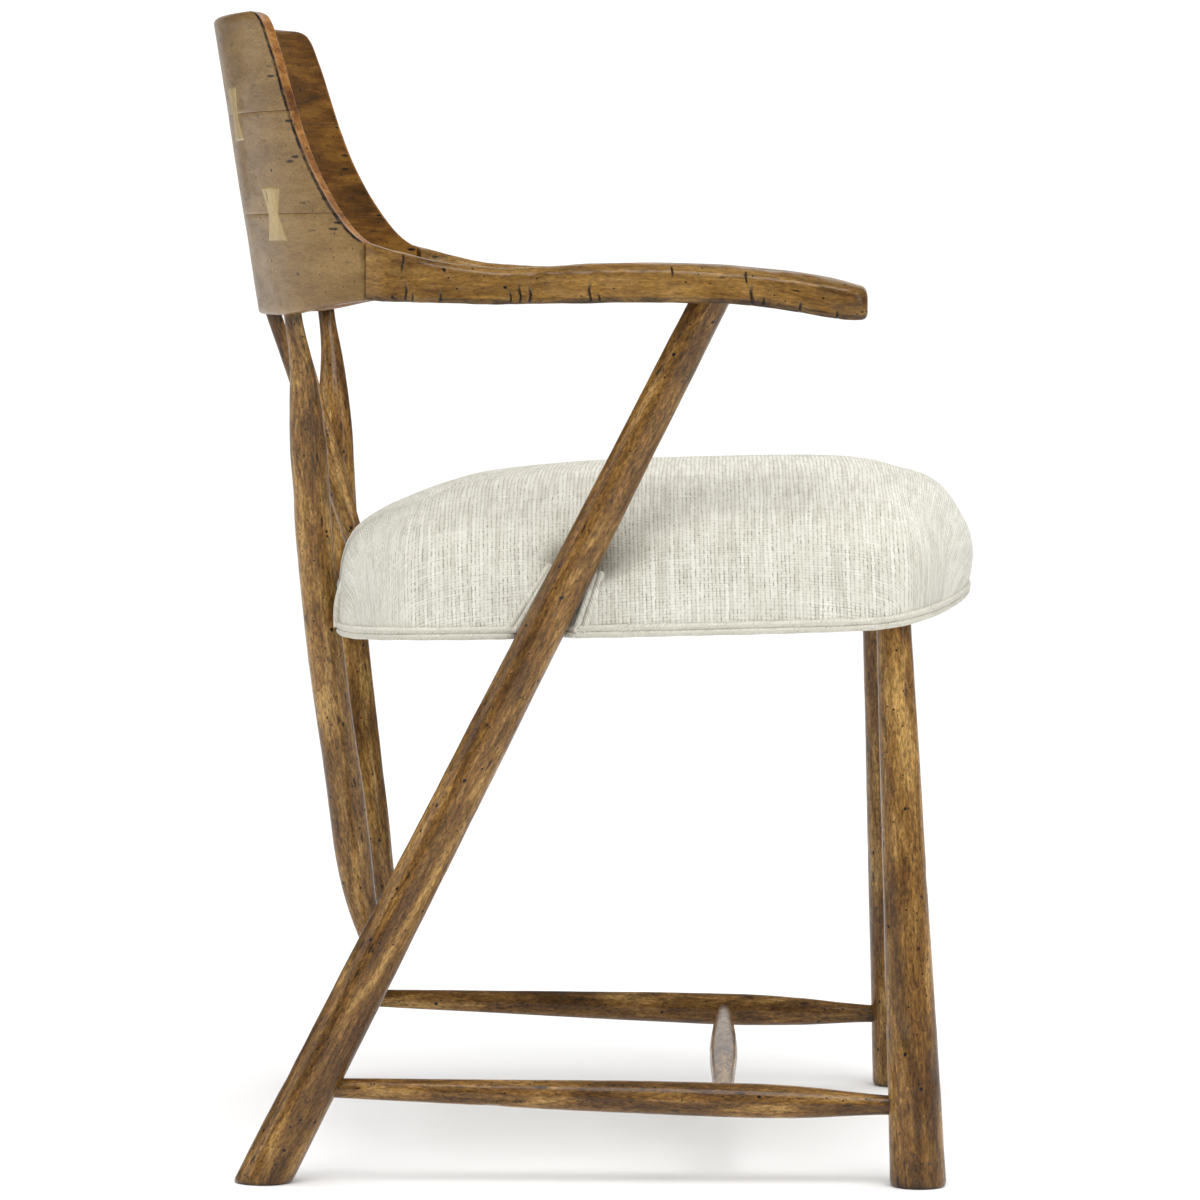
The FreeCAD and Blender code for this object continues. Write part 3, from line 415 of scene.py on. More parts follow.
WEBBING = plain_weave("jute_webbing", (120, 96, 62), (176, 150, 108), 0.004)
CAMBRIC = plain_weave("dust_cloth", (150, 144, 128), (190, 185, 170), 0.0016)


# ---------------------------------------------------------------- turned pieces

def turned(name, centres, radii, seed, nodes, flat=None, foot=False, around=80, dents=9, grime=(0, 0), finish=TURNED, tone=0.0):
    """A turned piece: rings along a line, with the slight unevenness and dents of worked timber.
    flat is the axis of a leg whose rings lie level; otherwise each ring is square to the line."""
    c = np.asarray(centres, float)
    r = np.asarray(radii, float)
    t = np.gradient(c, axis=0)
    t /= np.linalg.norm(t, axis=1)[:, None]
    run = np.concatenate([[0], np.cumsum(np.linalg.norm(np.diff(c, axis=0), axis=1))])
    if flat is not None:
        d = np.asarray(flat, float) / np.linalg.norm(flat)
        lean = np.array([d[0], d[1], 0.0]) / math.hypot(d[0], d[1])
        e1 = np.tile([-lean[1], lean[0], 0.0], (len(c), 1))
        e2 = np.tile(lean / d[2], (len(c), 1))
    else:
        ref = np.array([0, 0, 1.0]) if abs(t[:, 2]).mean() < 0.7 else np.array([1.0, 0, 0])
        e1 = np.cross(t, ref)
        e1 /= np.linalg.norm(e1, axis=1)[:, None]
        e2 = np.cross(t, e1)
    th = np.linspace(0, 2 * math.pi, around, endpoint=False)
    cs, sn = np.cos(th), np.sin(th)
    spot = np.stack([np.repeat(run[:, None], around, 1), 16 * np.repeat(cs[None], len(c), 0), 16 * np.repeat(sn[None], len(c), 0)], -1)
    k = 1 + 0.011 * wob(spot * (0.35, 1, 1), 22, seed) + 0.005 * wob(spot * (0.6, 1, 1), 8, seed + 1)
    rad = r[:, None] * k
    mark = np.zeros_like(rad)
    rng = np.random.default_rng(seed + 5)
    for _ in range(dents):
        at, ang = rng.uniform(0.05, 0.95) * run[-1], rng.uniform(0, 2 * math.pi)
        long, wide, deep = rng.uniform(3.5, 11), rng.uniform(2.2, 4.5), rng.uniform(0.35, 0.9)
        off = (th[None] - ang + math.pi) % (2 * math.pi) - math.pi
        g = np.exp(-((run[:, None] - at) / long) ** 2 - (off * r[:, None] / wide) ** 2)
        rad = rad - deep * g
        mark = np.maximum(mark, 0.55 * g ** 1.5)
    x, y = rad * cs[None], rad * sn[None]
    v = c[:, None] + x[..., None] * e1[:, None] + y[..., None] * e2[:, None]
    if foot:
        v[..., 2] = np.maximum(v[..., 2], 0.0)
    gp = np.stack([np.repeat(run[:, None], around, 1) + seed * 613.0, x + seed * 171.0, y + seed * 59.0], -1) / 1000.0
    edge = np.zeros_like(rad)
    if grime[0]:
        edge = np.maximum(edge, 0.9 * np.exp(-np.abs(run - grime[0]) / 7.0)[:, None] * np.ones(around))
    if grime[1]:
        edge = np.maximum(edge, 0.9 * np.exp(-np.abs(run[-1] - grime[1] - run) / 7.0)[:, None] * np.ones(around))
    if foot:
        edge = np.maximum(edge, 0.9 * np.exp(-v[..., 2] / 4.0))
    rows = len(c)
    verts = v.reshape(-1, 3)
    attrs = {"gp": gp.reshape(-1, 3), "mark": mark.ravel(), "edge": edge.ravel(), "tone": np.full(len(verts), tone)}
    faces = grid(rows, around)
    verts, faces, attrs = close_ring(verts, faces, attrs, 0, around, verts[:around].mean(0))
    verts, faces, attrs = close_ring(verts, faces, attrs, (rows - 1) * around, around, verts[(rows - 1) * around:rows * around].mean(0))
    return piece(name, verts, faces, attrs, finish, nodes)


FOOT_Z = np.array([0.0, 0.35, 1.0, 1.9, 3.0, 4.4])
FOOT_IN = np.array([2.4, 1.5, 0.8, 0.35, 0.1, 0.0])


def leg(name, foot, head, z0, d0, z1, d1, top, seed, nodes, tone):
    foot, head = np.asarray(foot, float), np.asarray(head, float)
    axis = head - foot
    z = np.concatenate([FOOT_Z, np.arange(8.0, top, 4.0), [top]])
    c = foot + axis * ((z - foot[2]) / axis[2])[:, None]
    r = (d0 + (d1 - d0) * (z - z0) / (z1 - z0)) / 2
    r[:len(FOOT_IN)] -= FOOT_IN
    return turned(name, c, r, seed, nodes, flat=axis, foot=True, tone=tone)


def diag_at(sx, z):
    t = np.asarray(z, float) / 630.0
    return np.stack([sx * (235 + 29 * t), 233.8 - 319.6 * t, 630.0 * t], -1)


def front_at(sx, z):
    t = np.asarray(z, float) / 398.0
    return np.stack([sx * (240 - 22 * t), -236 + 18 * t, 398.0 * t], -1)


for k, (side, sx) in enumerate(SIDES):
    leg(f"{side}_diagonal_leg_turned", (sx * 235, 233.8, 0), (sx * 264, -85.8, 630), -24, 38.6, 638, 26.0, 634.0, 11 + k, [f"{side}_diagonal_leg"], -0.02)
    leg(f"{side}_front_leg_turned", (sx * 240, -236, 0), (sx * 218, -218, 398), -8, 40.4, 412, 24.4, 404.0, 21 + k, [f"{side}_front_leg"], -0.01)
    a, b = diag_at(sx, 69.0), front_at(sx, 57.0)
    length = float(np.linalg.norm(b - a))
    size = cubic([0, 27, 0.28 * length, 0.48 * length, 0.66 * length, 0.83 * length, length - 25, length], [13.0, 14.4, 18.4, 22.4, 24.6, 21.6, 14.4, 13.0])
    s = np.arange(4.0, length - 3.0, 4.0)
    turned(f"{side}_side_stretcher_turned", a + (b - a) * (s / length)[:, None], size(s) / 2, 31 + k, [f"{side}_side_stretcher"], grime=(14, 14), dents=7, tone=-0.035)

A0, B0 = diag_at(1.0, 69.0), front_at(1.0, 57.0)
MID = A0 + (B0 - A0) * 0.683
s = np.arange(-215.0, 216.0, 4.0)
size = cubic([-215, -208, -110, 0, 110, 208, 215], [12.6, 13.0, 17.6, 21.0, 17.6, 13.0, 12.6])
turned("cross_stretcher_turned", np.stack([s, np.full_like(s, MID[1]), np.full_like(s, MID[2])], -1), size(s) / 2, 41, ["cross_stretcher"], grime=(8, 8), tone=-0.02)
REAR = diag_at(1.0, 150.0)
s = np.arange(-228.0, 229.0, 4.0)
size = cubic([-228, -212, -120, 0, 120, 212, 228], [13.4, 14.0, 20.0, 24.0, 20.0, 14.0, 13.4])
turned("rear_stretcher_turned", np.stack([s, np.full_like(s, REAR[1]), np.full_like(s, REAR[2])], -1), size(s) / 2, 43, ["rear_stretcher"], grime=(12, 12), tone=-0.02)

POST = np.array([(164.6, 216.6, 629, 13.2), (160.5, 214, 610, 13.2), (153, 210.8, 588, 16.4), (144.5, 208.6, 560, 22), (137, 206.6, 525, 26.8), (132.5, 202.6, 455, 26.8),
                 (129.5, 198, 402, 26.8), (123, 190.8, 337, 26.8), (111.5, 182.6, 272, 26.8), (106, 177, 226, 26.8), (104.2, 170.6, 186, 22), (104, 163.6, 158, 16)])[::-1]


def post_at(z):
    return np.stack([np.interp(z, POST[:, 2], POST[:, i]) for i in range(3)], -1)


# ---------------------------------------------------------------- barrel back

A_OUT, B_OUT, WALL = 285.0, 155.0, 18.0
S15, C15 = math.sin(math.radians(15)), math.cos(math.radians(15))
RIM = np.array([(-196, 842), (-186, 839.2), (-177.5, 835.6), (-171.5, 829), (-167.4, 819), (-159.5, 803), (-151.8, 777), (-147.8, 765.7), (-143, 753.4), (-135.2, 738),
                (-125.8, 719.5), (-116.1, 705.7), (-108.7, 694.9), (-95.7, 681.1), (-84.8, 673.4), (-70, 667)])[::-1]
UNDER = np.array([(-56, 633.4), (-82.6, 631.5), (-122, 627), (-150, 622.8), (-178, 619.6), (-202, 617)])[::-1]
fair = np.polyfit(np.sqrt(RIM[RIM[:, 1] < 822, 1] - 660.0), RIM[RIM[:, 1] < 822, 0], 5)
rim_z = np.arange(667.0, 816.0, 4.0)
rim_at = monotone(np.concatenate([rim_z, RIM[-4:, 1]]), np.concatenate([np.polyval(fair, np.sqrt(rim_z - 660.0)), RIM[-4:, 0]]))
under_at = monotone(UNDER[:, 0], UNDER[:, 1])
JOINT = (265.0, 156.5)
JN = np.array([0.815, 0.579])


def centre_y(z):
    return 96.8 + 0.1533 * (np.asarray(z, float) - 620.0)


def on_back(x, z, inset=0.0):
    a, b = A_OUT - inset, B_OUT - inset
    return centre_y(z) + b * np.sqrt(np.maximum(0, 1 - (np.asarray(x, float) / a) ** 2))


def solve(f, lo, hi):
    for _ in range(50):
        m = (lo + hi) / 2
        if f(m) < 0:
            lo = m
        else:
            hi = m
    return (lo + hi) / 2


def wall_end(z, a, b, back, joint):
    """The angle at which the wall stops at height z: at the rim's curve or the arm's joint."""
    yc, w = float(centre_y(z)), float(rim_at(z)) - back
    ang = solve(lambda p: S15 * a * math.sin(p) - C15 * (yc + b * math.cos(p)) - w, 0.2, 1.75)
    if joint:
        ang = min(ang, solve(lambda p: JN[1] * (a * math.sin(p) - JOINT[0]) - JN[0] * (yc + b * math.cos(p) - JOINT[1]) + 0.15 + back, 0.2, 1.75))
    return ang


ALONG, CORNER, FACE = 230, 6, 6


def back_loop(frac, inset, z0, z1, joint, bottom):
    """One closed line round a tier at one height: outer face, rim, inner face, rim."""
    ao, bo, ai, bi = A_OUT - inset, B_OUT - inset, A_OUT - WALL + inset, B_OUT - WALL + inset
    zr = z0 + frac * (z1 - z0)
    if bottom:
        zr = 631.5 + frac * (z1 - 631.5)
    po, pi = wall_end(zr, ao, bo, inset, joint), wall_end(zr, ai, bi, inset, joint)
    yc = float(centre_y(zr))

    def at(p, a, b):
        return np.stack([a * np.sin(p), yc + b * np.cos(p)], -1)

    def speed(p, a, b):
        return math.hypot(a * math.cos(p), b * math.sin(p))

    ease = max(0.6, 3.2 - inset * 0.5)
    qo, qi = po - ease / speed(po, ao, bo), pi - ease / speed(pi, ai, bi)
    co, ci = at(np.array(po), ao, bo), at(np.array(pi), ai, bi)
    wide = np.linalg.norm(ci - co)
    step = (ci - co) / wide

    def bend(p0, p1, p2):
        t = np.linspace(0, 1, CORNER + 2)[1:-1, None]
        return (1 - t) ** 2 * p0 + 2 * t * (1 - t) * p1 + t * t * p2

    u = np.linspace(-1, 1, ALONG)
    u = np.sign(u) * (1 - (1 - np.abs(u)) ** 1.25)
    outer = at(u * qo, ao, bo)
    inner = at(-u * qi, ai, bi)
    f0, f1 = co + step * ease, ci - step * ease
    t = np.linspace(0, 1, FACE)[:, None]
    face = f0 + (f1 - f0) * t
    out = np.array([step[1], -step[0]])
    face = face + out * (0.7 * np.sin(np.pi * t))
    rim = np.vstack([bend(outer[-1], co, f0), face, bend(f1, ci, inner[0])])
    other = rim[::-1] * (-1, 1)
    loop = np.vstack([outer, rim, inner, other])
    n = len(rim)
    jointed = joint and wall_end(zr, ao, bo, inset, False) > po + 1e-6
    e = np.concatenate([np.zeros(ALONG), np.sin(np.linspace(0.6, 2.2, CORNER)) * (0.3 if jointed else 1.5), np.zeros(FACE + CORNER)])
    edge = np.concatenate([e, np.zeros(ALONG), e[ALONG:][::-1]])
    rim_w = np.concatenate([np.zeros(CORNER), np.ones(FACE), np.ones(CORNER)])
    is_rim = np.concatenate([np.zeros(ALONG), rim_w, np.zeros(ALONG), rim_w[::-1]])
    is_in = np.concatenate([np.zeros(ALONG), np.zeros(n), np.ones(ALONG), np.zeros(n)])
    ang = np.concatenate([u * qo, np.full(n, po), -u * qi, np.full(n, -po)])
    arc = ang * 225.0
    near = np.exp(-(np.maximum(0, (po - np.abs(ang)) * 225.0) / 46.0) ** 2)
    depth = np.concatenate([np.zeros(ALONG), np.linspace(0, 18, n), np.full(ALONG, 18.0), np.linspace(18, 0, n)])
    z = np.full(len(loop), zr)
    if bottom:
        w = S15 * np.abs(loop[:, 0]) - C15 * loop[:, 1]
        low = np.maximum(620.0, under_at(w))
        z = low + frac * (z1 - low)
        loop[:, 1] += centre_y(z) - yc
    return np.column_stack([loop, z]), edge, is_rim, is_in, arc, depth, near


def tier(name, node, z0, z1, low_ease, top_ease, joint, bottom, seed):
    h = z1 - z0
    ang = np.radians([0, 22, 45, 67, 90])
    low = [(low_ease * (1 - math.cos(a)), low_ease * (1 - math.sin(a))) for a in ang]
    top = [(h - top_ease * (1 - math.cos(a)), top_ease * (1 - math.sin(a))) for a in ang[::-1]]
    mid = [(z, 0.0) for z in np.arange(low_ease + 2.0, h - top_ease - 1.0, 2.4)]
    rows = low + mid + top
    gap = 0.04
    vs, edges, rims, ins, gps, nears = [], [], [], [], [], []
    for z, inset in rows:
        p, e, r, i, arc, depth, near = back_loop(z / h, inset, z0 + gap, z1 - gap, joint, bottom)
        vs.append(p)
        lip = 0.0
        if inset > 0.02:
            lip = 0.55 * inset / max(low_ease, top_ease)
        edges.append(np.maximum(e, lip * (0.25 + 0.75 * near)))
        rims.append(np.maximum(r, lip * 0.6))
        ins.append(i)
        nears.append(near)
        gps.append(np.column_stack([arc + seed * 517.0, p[:, 2] + seed * 37.0, depth]) / 1000.0)
    v = np.array(vs)
    rows_n, cols = v.shape[:2]
    flat = v.reshape(-1, 3)
    # the faces aren't perfectly true, and the eased edges are nicked
    radial = flat[:, :2] - np.column_stack([np.zeros(len(flat)), centre_y(flat[:, 2])])
    radial = radial / (A_OUT ** 2, B_OUT ** 2)
    radial /= np.linalg.norm(radial, axis=1)[:, None]
    true = 0.35 * wob(flat * (1, 1, 1.6), 55, 3) + 0.10 * wob(flat, 14, 4)
    e = np.concatenate(edges)
    nick = 0.7 * e * np.maximum(0, wob(flat, 6, 5) - 0.55)
    sign = np.where(np.concatenate(ins) > 0.5, -1.0, 1.0)
    flat[:, :2] += radial * (true - sign * nick)[:, None]
    # on the inner face the tone is raised low down, fading out by 725 mm: painted light standing in for the light and
    # reflection at the bottom of the inner face
    attrs = {"gp": np.concatenate(gps), "mark": np.zeros(len(flat)), "edge": e, "rim": np.concatenate(rims), "inner": np.concatenate(ins), "near": np.concatenate(nears),
             "tone": 0.10 * np.concatenate(ins) * (1 - smooth(flat[:, 2], 655, 725))}
    faces = grid(rows_n, cols)
    n = cols // 2 - ALONG
    for base in (0, (rows_n - 1) * cols):
        i0 = base
        r0 = base + ALONG
        j0 = base + ALONG + n
        for i in range(ALONG - 1):
            faces.append([i0 + i, i0 + i + 1, j0 + ALONG - 2 - i, j0 + ALONG - 1 - i])
        faces.append([i0 + ALONG - 1] + [r0 + k for k in range(n)] + [j0])
        l0 = base + 2 * ALONG + n
        faces.append([j0 + ALONG - 1] + [l0 + k for k in range(n)] + [i0])
    return piece(name, flat, faces, attrs, BACK, [node])


tier("back_lower_board", "back_lower_tier", 620.0, 693.0, 2.6, 0.4, True, True, 1)
tier("back_middle_board", "back_middle_tier", 693.0, 766.0, 0.4, 0.4, False, False, 2)
tier("back_crest_board", "back_crest", 766.0, 838.0, 0.4, 4.2, False, False, 3)

# Bow-tie keys, let in flush across the seams of the outer face.
kv, kf, kg, ke = [], [], [], []
for x0, z0 in ((115.0, 766.0), (180.0, 693.0), (-115.0, 766.0), (-180.0, 693.0)):
    yn = float(on_back(x0, z0) - centre_y(z0))
    nrm = np.array([x0 / A_OUT ** 2, yn / B_OUT ** 2])
    nrm /= np.linalg.norm(nrm)
    tan = np.array([nrm[1], -nrm[0]])
    rows_n, cols = 45, 35
    bb, cc = np.meshgrid(np.linspace(-1, 1, rows_n), np.linspace(-1, 1, cols), indexing="ij")
    half = 11.0 + 11.0 * np.abs(bb) ** 1.05
    a = cc * half
    zz = z0 + 20.0 * bb
    xx = x0 + a * tan[0]
    yy = on_back(xx, zz)
    rim = np.maximum(np.abs(cc), np.abs(bb))
    flat = np.stack([xx, yy, zz], -1).reshape(-1, 3)
    rise = 0.22 + 0.35 * wob(flat * (1, 1, 1.6), 55, 3) + 0.10 * wob(flat, 14, 4) - 0.35 * smooth(rim, 0.9, 1.0).ravel()
    top = flat.copy()
    top[:, :2] += nrm * rise[:, None]
    low = flat.copy()
    low[:, :2] -= nrm * 3.0
    start = sum(len(x) for x in kv)
    m = rows_n * cols
    kv.append(np.vstack([top, low]))
    kf += grid(rows_n, cols, False, start) + [f[::-1] for f in grid(rows_n, cols, False, start + m)]
    ring = [(0, j) for j in range(cols)] + [(i, cols - 1) for i in range(1, rows_n)] + [(rows_n - 1, j) for j in range(cols - 2, -1, -1)] + [(i, 0) for i in range(rows_n - 2, 0, -1)]
    ring = [i * cols + j for i, j in ring]
    for q, w in zip(ring, ring[1:] + ring[:1]):
        kf.append([start + q, start + w, start + m + w, start + m + q])
    g = np.column_stack([zz.ravel() + x0 * 7, a.ravel() + x0, np.zeros(m)]) / 1000.0
    kg += [g, g]
    e = 0.5 * smooth(rim, 0.88, 1.0).ravel()
    ke += [e, e]
kv = np.vstack(kv)
piece("butterfly_key_inlays", kv, kf, {"gp": np.concatenate(kg), "mark": np.zeros(len(kv)), "edge": np.concatenate(ke)}, KEY, ["butterfly_keys"])


# ---------------------------------------------------------------- arms

ARM_OUT = np.array([(265, 156.5), (281.9, 125), (285.4, 90), (286, 50), (287, 0), (288.5, -60), (289.6, -110), (290, -155), (289, -188), (284, -197)], float)
ARM_IN = np.array([(265 - JN[0] * 18, 156.5 - JN[1] * 18), (264.4, 120.2), (266.4, 90), (264.5, 50), (261, 0), (253, -60), (246.1, -110), (241.5, -155), (241, -188), (246, -197)], float)
ARM_Z = np.array([631.5, 630.5, 629.5, 628.8, 629.6, 630.1, 628.4, 622.2, 617.8, 618.4])
ARM_H = np.array([39, 31, 24.8, 21.8, 22.6, 22.6, 21.2, 22.2, 20.8, 18.2])
ARM_D = np.array([1, 1.8, 2.8, 4, 4.6, 5, 5.4, 5.6, 5, 4])
CRACKS = {"right": ((128.8, "top", 15, 0.55), (126.5, "low", 15, 0.7), (122.0, "low", 8, 0.5), (102.2, "low", 9, 0.5), (46.2, "low", 18, 0.65), (53.0, "low", 11, 0.5), (39.2, "low", 15, 0.7),
                     (-2.8, "low", 17, 0.65), (-9.0, "low", 8, 0.5), (-60, "top", 7, 0.5), (-112, "top", 9, 0.5), (-116, "low", 17, 0.8), (-124, "low", 9, 0.5), (-150, "low", 9, 0.55), (-176, "low", 7, 0.5)),
          "left": ((110, "low", 12, 0.6), (64, "top", 10, 0.55), (22, "low", 15, 0.65), (15, "low", 8, 0.5), (-34, "low", 11, 0.6), (-88, "top", 9, 0.5), (-130, "low", 14, 0.7), (-170, "low", 9, 0.5))}


def section(w, h, dome, low, top):
    """A rounded section: across from the outer side, and up from the underside."""
    def arc(p0, p1, p2, n):
        t = np.linspace(0, 1, n)[:, None]
        return (1 - t) ** 2 * np.array(p0) + 2 * t * (1 - t) * np.array(p1) + t * t * np.array(p2)

    def run(p0, p1, n):
        t = np.linspace(0, 1, n + 2)[1:-1, None]
        return np.array(p0) + (np.array(p1) - np.array(p0)) * t

    x = np.linspace(top, w - top, 16)
    roof = np.column_stack([x, h + dome * (1 - (2 * x / w - 1) ** 2)])
    lift = roof[0, 1]
    return np.vstack([
        run((low, 0), (w - low, 0), 12), arc((w - low, 0), (w, 0), (w, low), 8), run((w, low), (w, h - top), 10), arc((w, h - top), (w, h), (w - top, lift), 8),
        roof[::-1][1:-1], arc((top, lift), (0, h), (0, h - top), 8), run((0, h - top), (0, low), 10), arc((0, low), (0, 0), (low, 0), 8)])


for k, (side, sx) in enumerate(SIDES):
    par = np.concatenate([[0], np.cumsum(np.linalg.norm(np.diff(ARM_OUT, axis=0), axis=1))])
    fo, fi, fz, fh, fd = cubic(par, ARM_OUT), cubic(par, ARM_IN), cubic(par, ARM_Z), cubic(par, ARM_H), cubic(par, ARM_D)
    stations = np.concatenate([[0.0, 0.5, 1.2], np.arange(2.5, par[-1] - 12, 1.7), np.linspace(par[-1] - 11, par[-1], 12)])
    look_up = np.linspace(0, par[-1], 900)
    for y, _, _, _ in CRACKS[side]:
        mid_s = float(np.interp(-y, -fo(look_up)[:, 1], look_up))
        stations = np.concatenate([stations, mid_s + np.arange(-2.1, 2.2, 0.35)])
    stations = np.unique(np.round(np.clip(stations, 0, par[-1]), 3))
    vs, gs, edges = [], [], []
    for s in stations:
        o, i, z, h, d = fo(s), fi(s), float(fz(s)), float(fh(s)), float(fd(s))
        w = float(np.linalg.norm(i - o))
        ease = smooth(s, 0, 20)
        sec = section(w, h, d, 1.6 + 1.6 * ease, 1.8 + 2.4 * ease)
        lean = 1 - smooth(s, 0, 26)
        sec[:, 1] += lean * (1.5 - 4.0 * sec[:, 0] / w) * smooth(sec[:, 1], h * 0.3, h)
        tuck = 0.0
        if s < 1.2:
            tuck = 0.5 * (1 - s / 1.2)
        left = par[-1] - s
        if left < 5.0:
            tuck = 3.4 * (1 - math.sqrt(max(0.0, 1 - (1 - left / 5.0) ** 2)))
        if tuck:
            m = np.array([w / 2, (h + d * 0.6) / 2])
            sec = m + (sec - m) * ((np.array([w, h]) - 2 * tuck) / np.array([w, h]))
        across = (i - o) / w
        p = o + sec[:, :1] * across
        vs.append(np.column_stack([p, z + sec[:, 1]]))
        gs.append(np.column_stack([np.full(len(sec), s) + 900 * (k + 3), sec[:, 0], sec[:, 1]]) / 1000.0)
        edge = np.zeros(len(sec))
        edge[12:20] = 0.6
        edge[30:38] = edge[52:60] = 0.18
        edge[70:78] = 0.8
        if s < 6:
            edge = np.maximum(edge, 0.8 * math.exp(-s / 0.6))
        edges.append(edge)
    v = np.array(vs)
    rows_n, cols = v.shape[:2]
    mid = v.mean(axis=1, keepdims=True)
    flat = v.reshape(-1, 3)
    off = (v - mid).reshape(-1, 3)
    off /= np.linalg.norm(off, axis=1)[:, None]
    edge = np.concatenate(edges)
    fade = np.repeat(smooth(stations, 2, 14), cols)
    dent = (0.40 * wob(flat, 26, 61 + k) + 0.16 * wob(flat, 8, 63 + k)) * fade
    nick = 0.8 * edge * np.maximum(0, wob(flat, 6, 67 + k) - 0.45) * fade
    mark = np.zeros(len(flat))
    cut = np.zeros(len(flat))
    s_all = np.repeat(stations, cols)
    rise = np.concatenate([g[:, 2] for g in gs]) * 1000
    y_all = flat[:, 1]
    top_h = np.repeat(fh(stations), cols)
    outside = (np.concatenate([g[:, 1] for g in gs]) * 1000 < 5)
    for y, where, tall, wide in CRACKS[side]:
        up = rise if where == "low" else top_h + 1 - rise
        line = y + 0.5 * np.sin(up * 0.5 + y) + 0.03 * up
        g = np.exp(-((y_all - line) / (1.45 * wide)) ** 4) * smooth(up, tall, tall * 0.5) * outside
        mark = np.maximum(mark, 0.95 * g)
        cut = np.maximum(cut, 1.0 * g)
    flat += off * (dent - nick - cut)[:, None]
    flat[:, 0] *= sx
    attrs = {"gp": np.concatenate(gs), "mark": mark, "edge": edge}
    faces = grid(rows_n, cols)
    flat, faces, attrs = close_ring(flat, faces, attrs, 0, cols, flat[:cols].mean(0), (0.8, 0.4))
    flat, faces, attrs = close_ring(flat, faces, attrs, (rows_n - 1) * cols, cols, flat[(rows_n - 1) * cols:rows_n * cols].mean(0), (0.9, 0.7, 0.4))
    piece(f"{side}_arm_shaped", flat, faces, attrs, ARM, [f"{side}_arm"])

# Back posts and spindles.
for k, (side, sx) in enumerate(SIDES):
    way = cubic(POST[:, 2], POST)
    z = np.arange(158.0, 633.0, 4.0)
    p = way(z)
    c = p[:, :3] * (sx, 1, 1)
    turned(f"{side}_back_post_turned", c, np.minimum(p[:, 3], 27.0) / 2, 51 + k, [f"{side}_back_post"], grime=(0, 12), dents=8, tone=-0.015)
    a = np.array([16 * sx, 172.0, 416.0])
    b = np.array([80 * sx, float(on_back(80, 621, 9)), 621.0])
    n = np.linspace(0, 1.015, 56)[:, None]
    turned(f"{side}_back_spindle_turned", a + (b - a) * n, np.full(56, 5.5), 55 + k, [f"{side}_back_spindle"], grime=(0, 4), dents=4, around=40)


# ---------------------------------------------------------------- seat

SEAT_O = np.array([0, -51.5, 393.3])
TILT = math.radians(-1.41)


def seat_out(p):
    """Seat's own place to the part's frame."""
    p = np.asarray(p, float)
    c, s = math.cos(TILT), math.sin(TILT)
    return np.stack([p[..., 0], p[..., 1] * c - p[..., 2] * s, p[..., 1] * s + p[..., 2] * c], -1) + SEAT_O


def seat_in(p):
    p = np.asarray(p, float) - SEAT_O
    c, s = math.cos(TILT), math.sin(TILT)
    return np.stack([p[..., 0], p[..., 1] * c + p[..., 2] * s, -p[..., 1] * s + p[..., 2] * c], -1)


PLAN = np.array([(0, -229.9), (90, -224.6), (160, -212.5), (210, -195), (240, -161), (251.5, -110), (255, -40), (252.5, 40), (246, 110), (236, 170), (215, 212), (175, 231), (120, 238), (60, 242), (0, 243)], float)
TOP = 117.0
zeta = lambda z: np.sqrt(np.maximum(0, TOP - np.asarray(z, float)))
HALF = monotone(zeta([117, 112.5, 102.5, 88, 66, 40, 10]), [0, 120, 190, 228, 247, 253.5, 255])
REARW = monotone(zeta([117, 115, 103, 86, 70, 45, 10]), [0, 71, 194, 242, 261, 268, 269.5])
BULGE = monotone([0, 8, 18, 30, 48, 63, 76, 88], [-2.4, -1.4, 1.8, 4.4, 5.4, 4.4, 1.4, 0.0])
RISE = monotone([-245, -225, -210, -195, -180, -165, -150, -140], [14.6, 12.4, 9.8, 6.4, 3.2, 1.0, 0.1, 0.0])
FRONTW = monotone(zeta([117, 115, 110.5, 95, 79, 50, 30, 10]), [0, 104, 156, 188, 197, 202, 203.5, 203.9])


def plan_line(n):
    half = PLAN
    whole = np.vstack([half, half[-2:0:-1] * (-1, 1)])
    whole = np.vstack([whole[-3:], whole, whole[:4]])
    t = np.concatenate([[0], np.cumsum(np.linalg.norm(np.diff(whole, axis=0), axis=1))])
    f = cubic(t, whole)
    a, b = t[3], t[-4]
    fine = f(np.linspace(a, b, 4000))
    d = np.concatenate([[0], np.cumsum(np.linalg.norm(np.diff(fine, axis=0), axis=1))])
    s = np.linspace(0, d[-1], n, endpoint=False)
    return np.column_stack([np.interp(s, d, fine[:, 0]), np.interp(s, d, fine[:, 1])])


def level(line, z, shrink=0.0):
    q = zeta(max(z, 10.0))
    x = line[:, 0] * float(HALF(q)) / 255.0
    rel = line[:, 1] + 26.0
    y = -26.0 + rel * np.where(rel > 0, float(REARW(q)) / 269.5, float(FRONTW(q)) / 203.9)
    p = np.column_stack([x, y])
    # the front swells over a lower edge that is drawn in
    shrink = shrink - float(BULGE(z)) * smooth(-line[:, 1], 110, 205)
    size = np.linalg.norm(p - (0, -26), axis=1)
    return (0, -26) + (p - (0, -26)) * np.maximum(0, 1 - shrink / np.maximum(size, 1))[:, None]


def risen(p):
    """The seat's lower edge rises towards the front; the lift dies out up the wall. In the seat's own frame."""
    out = p.copy()
    out[:, 2] += RISE(np.clip(p[:, 1], -245, -140)) * (1 - smooth(p[:, 2], 0, 75))
    return out


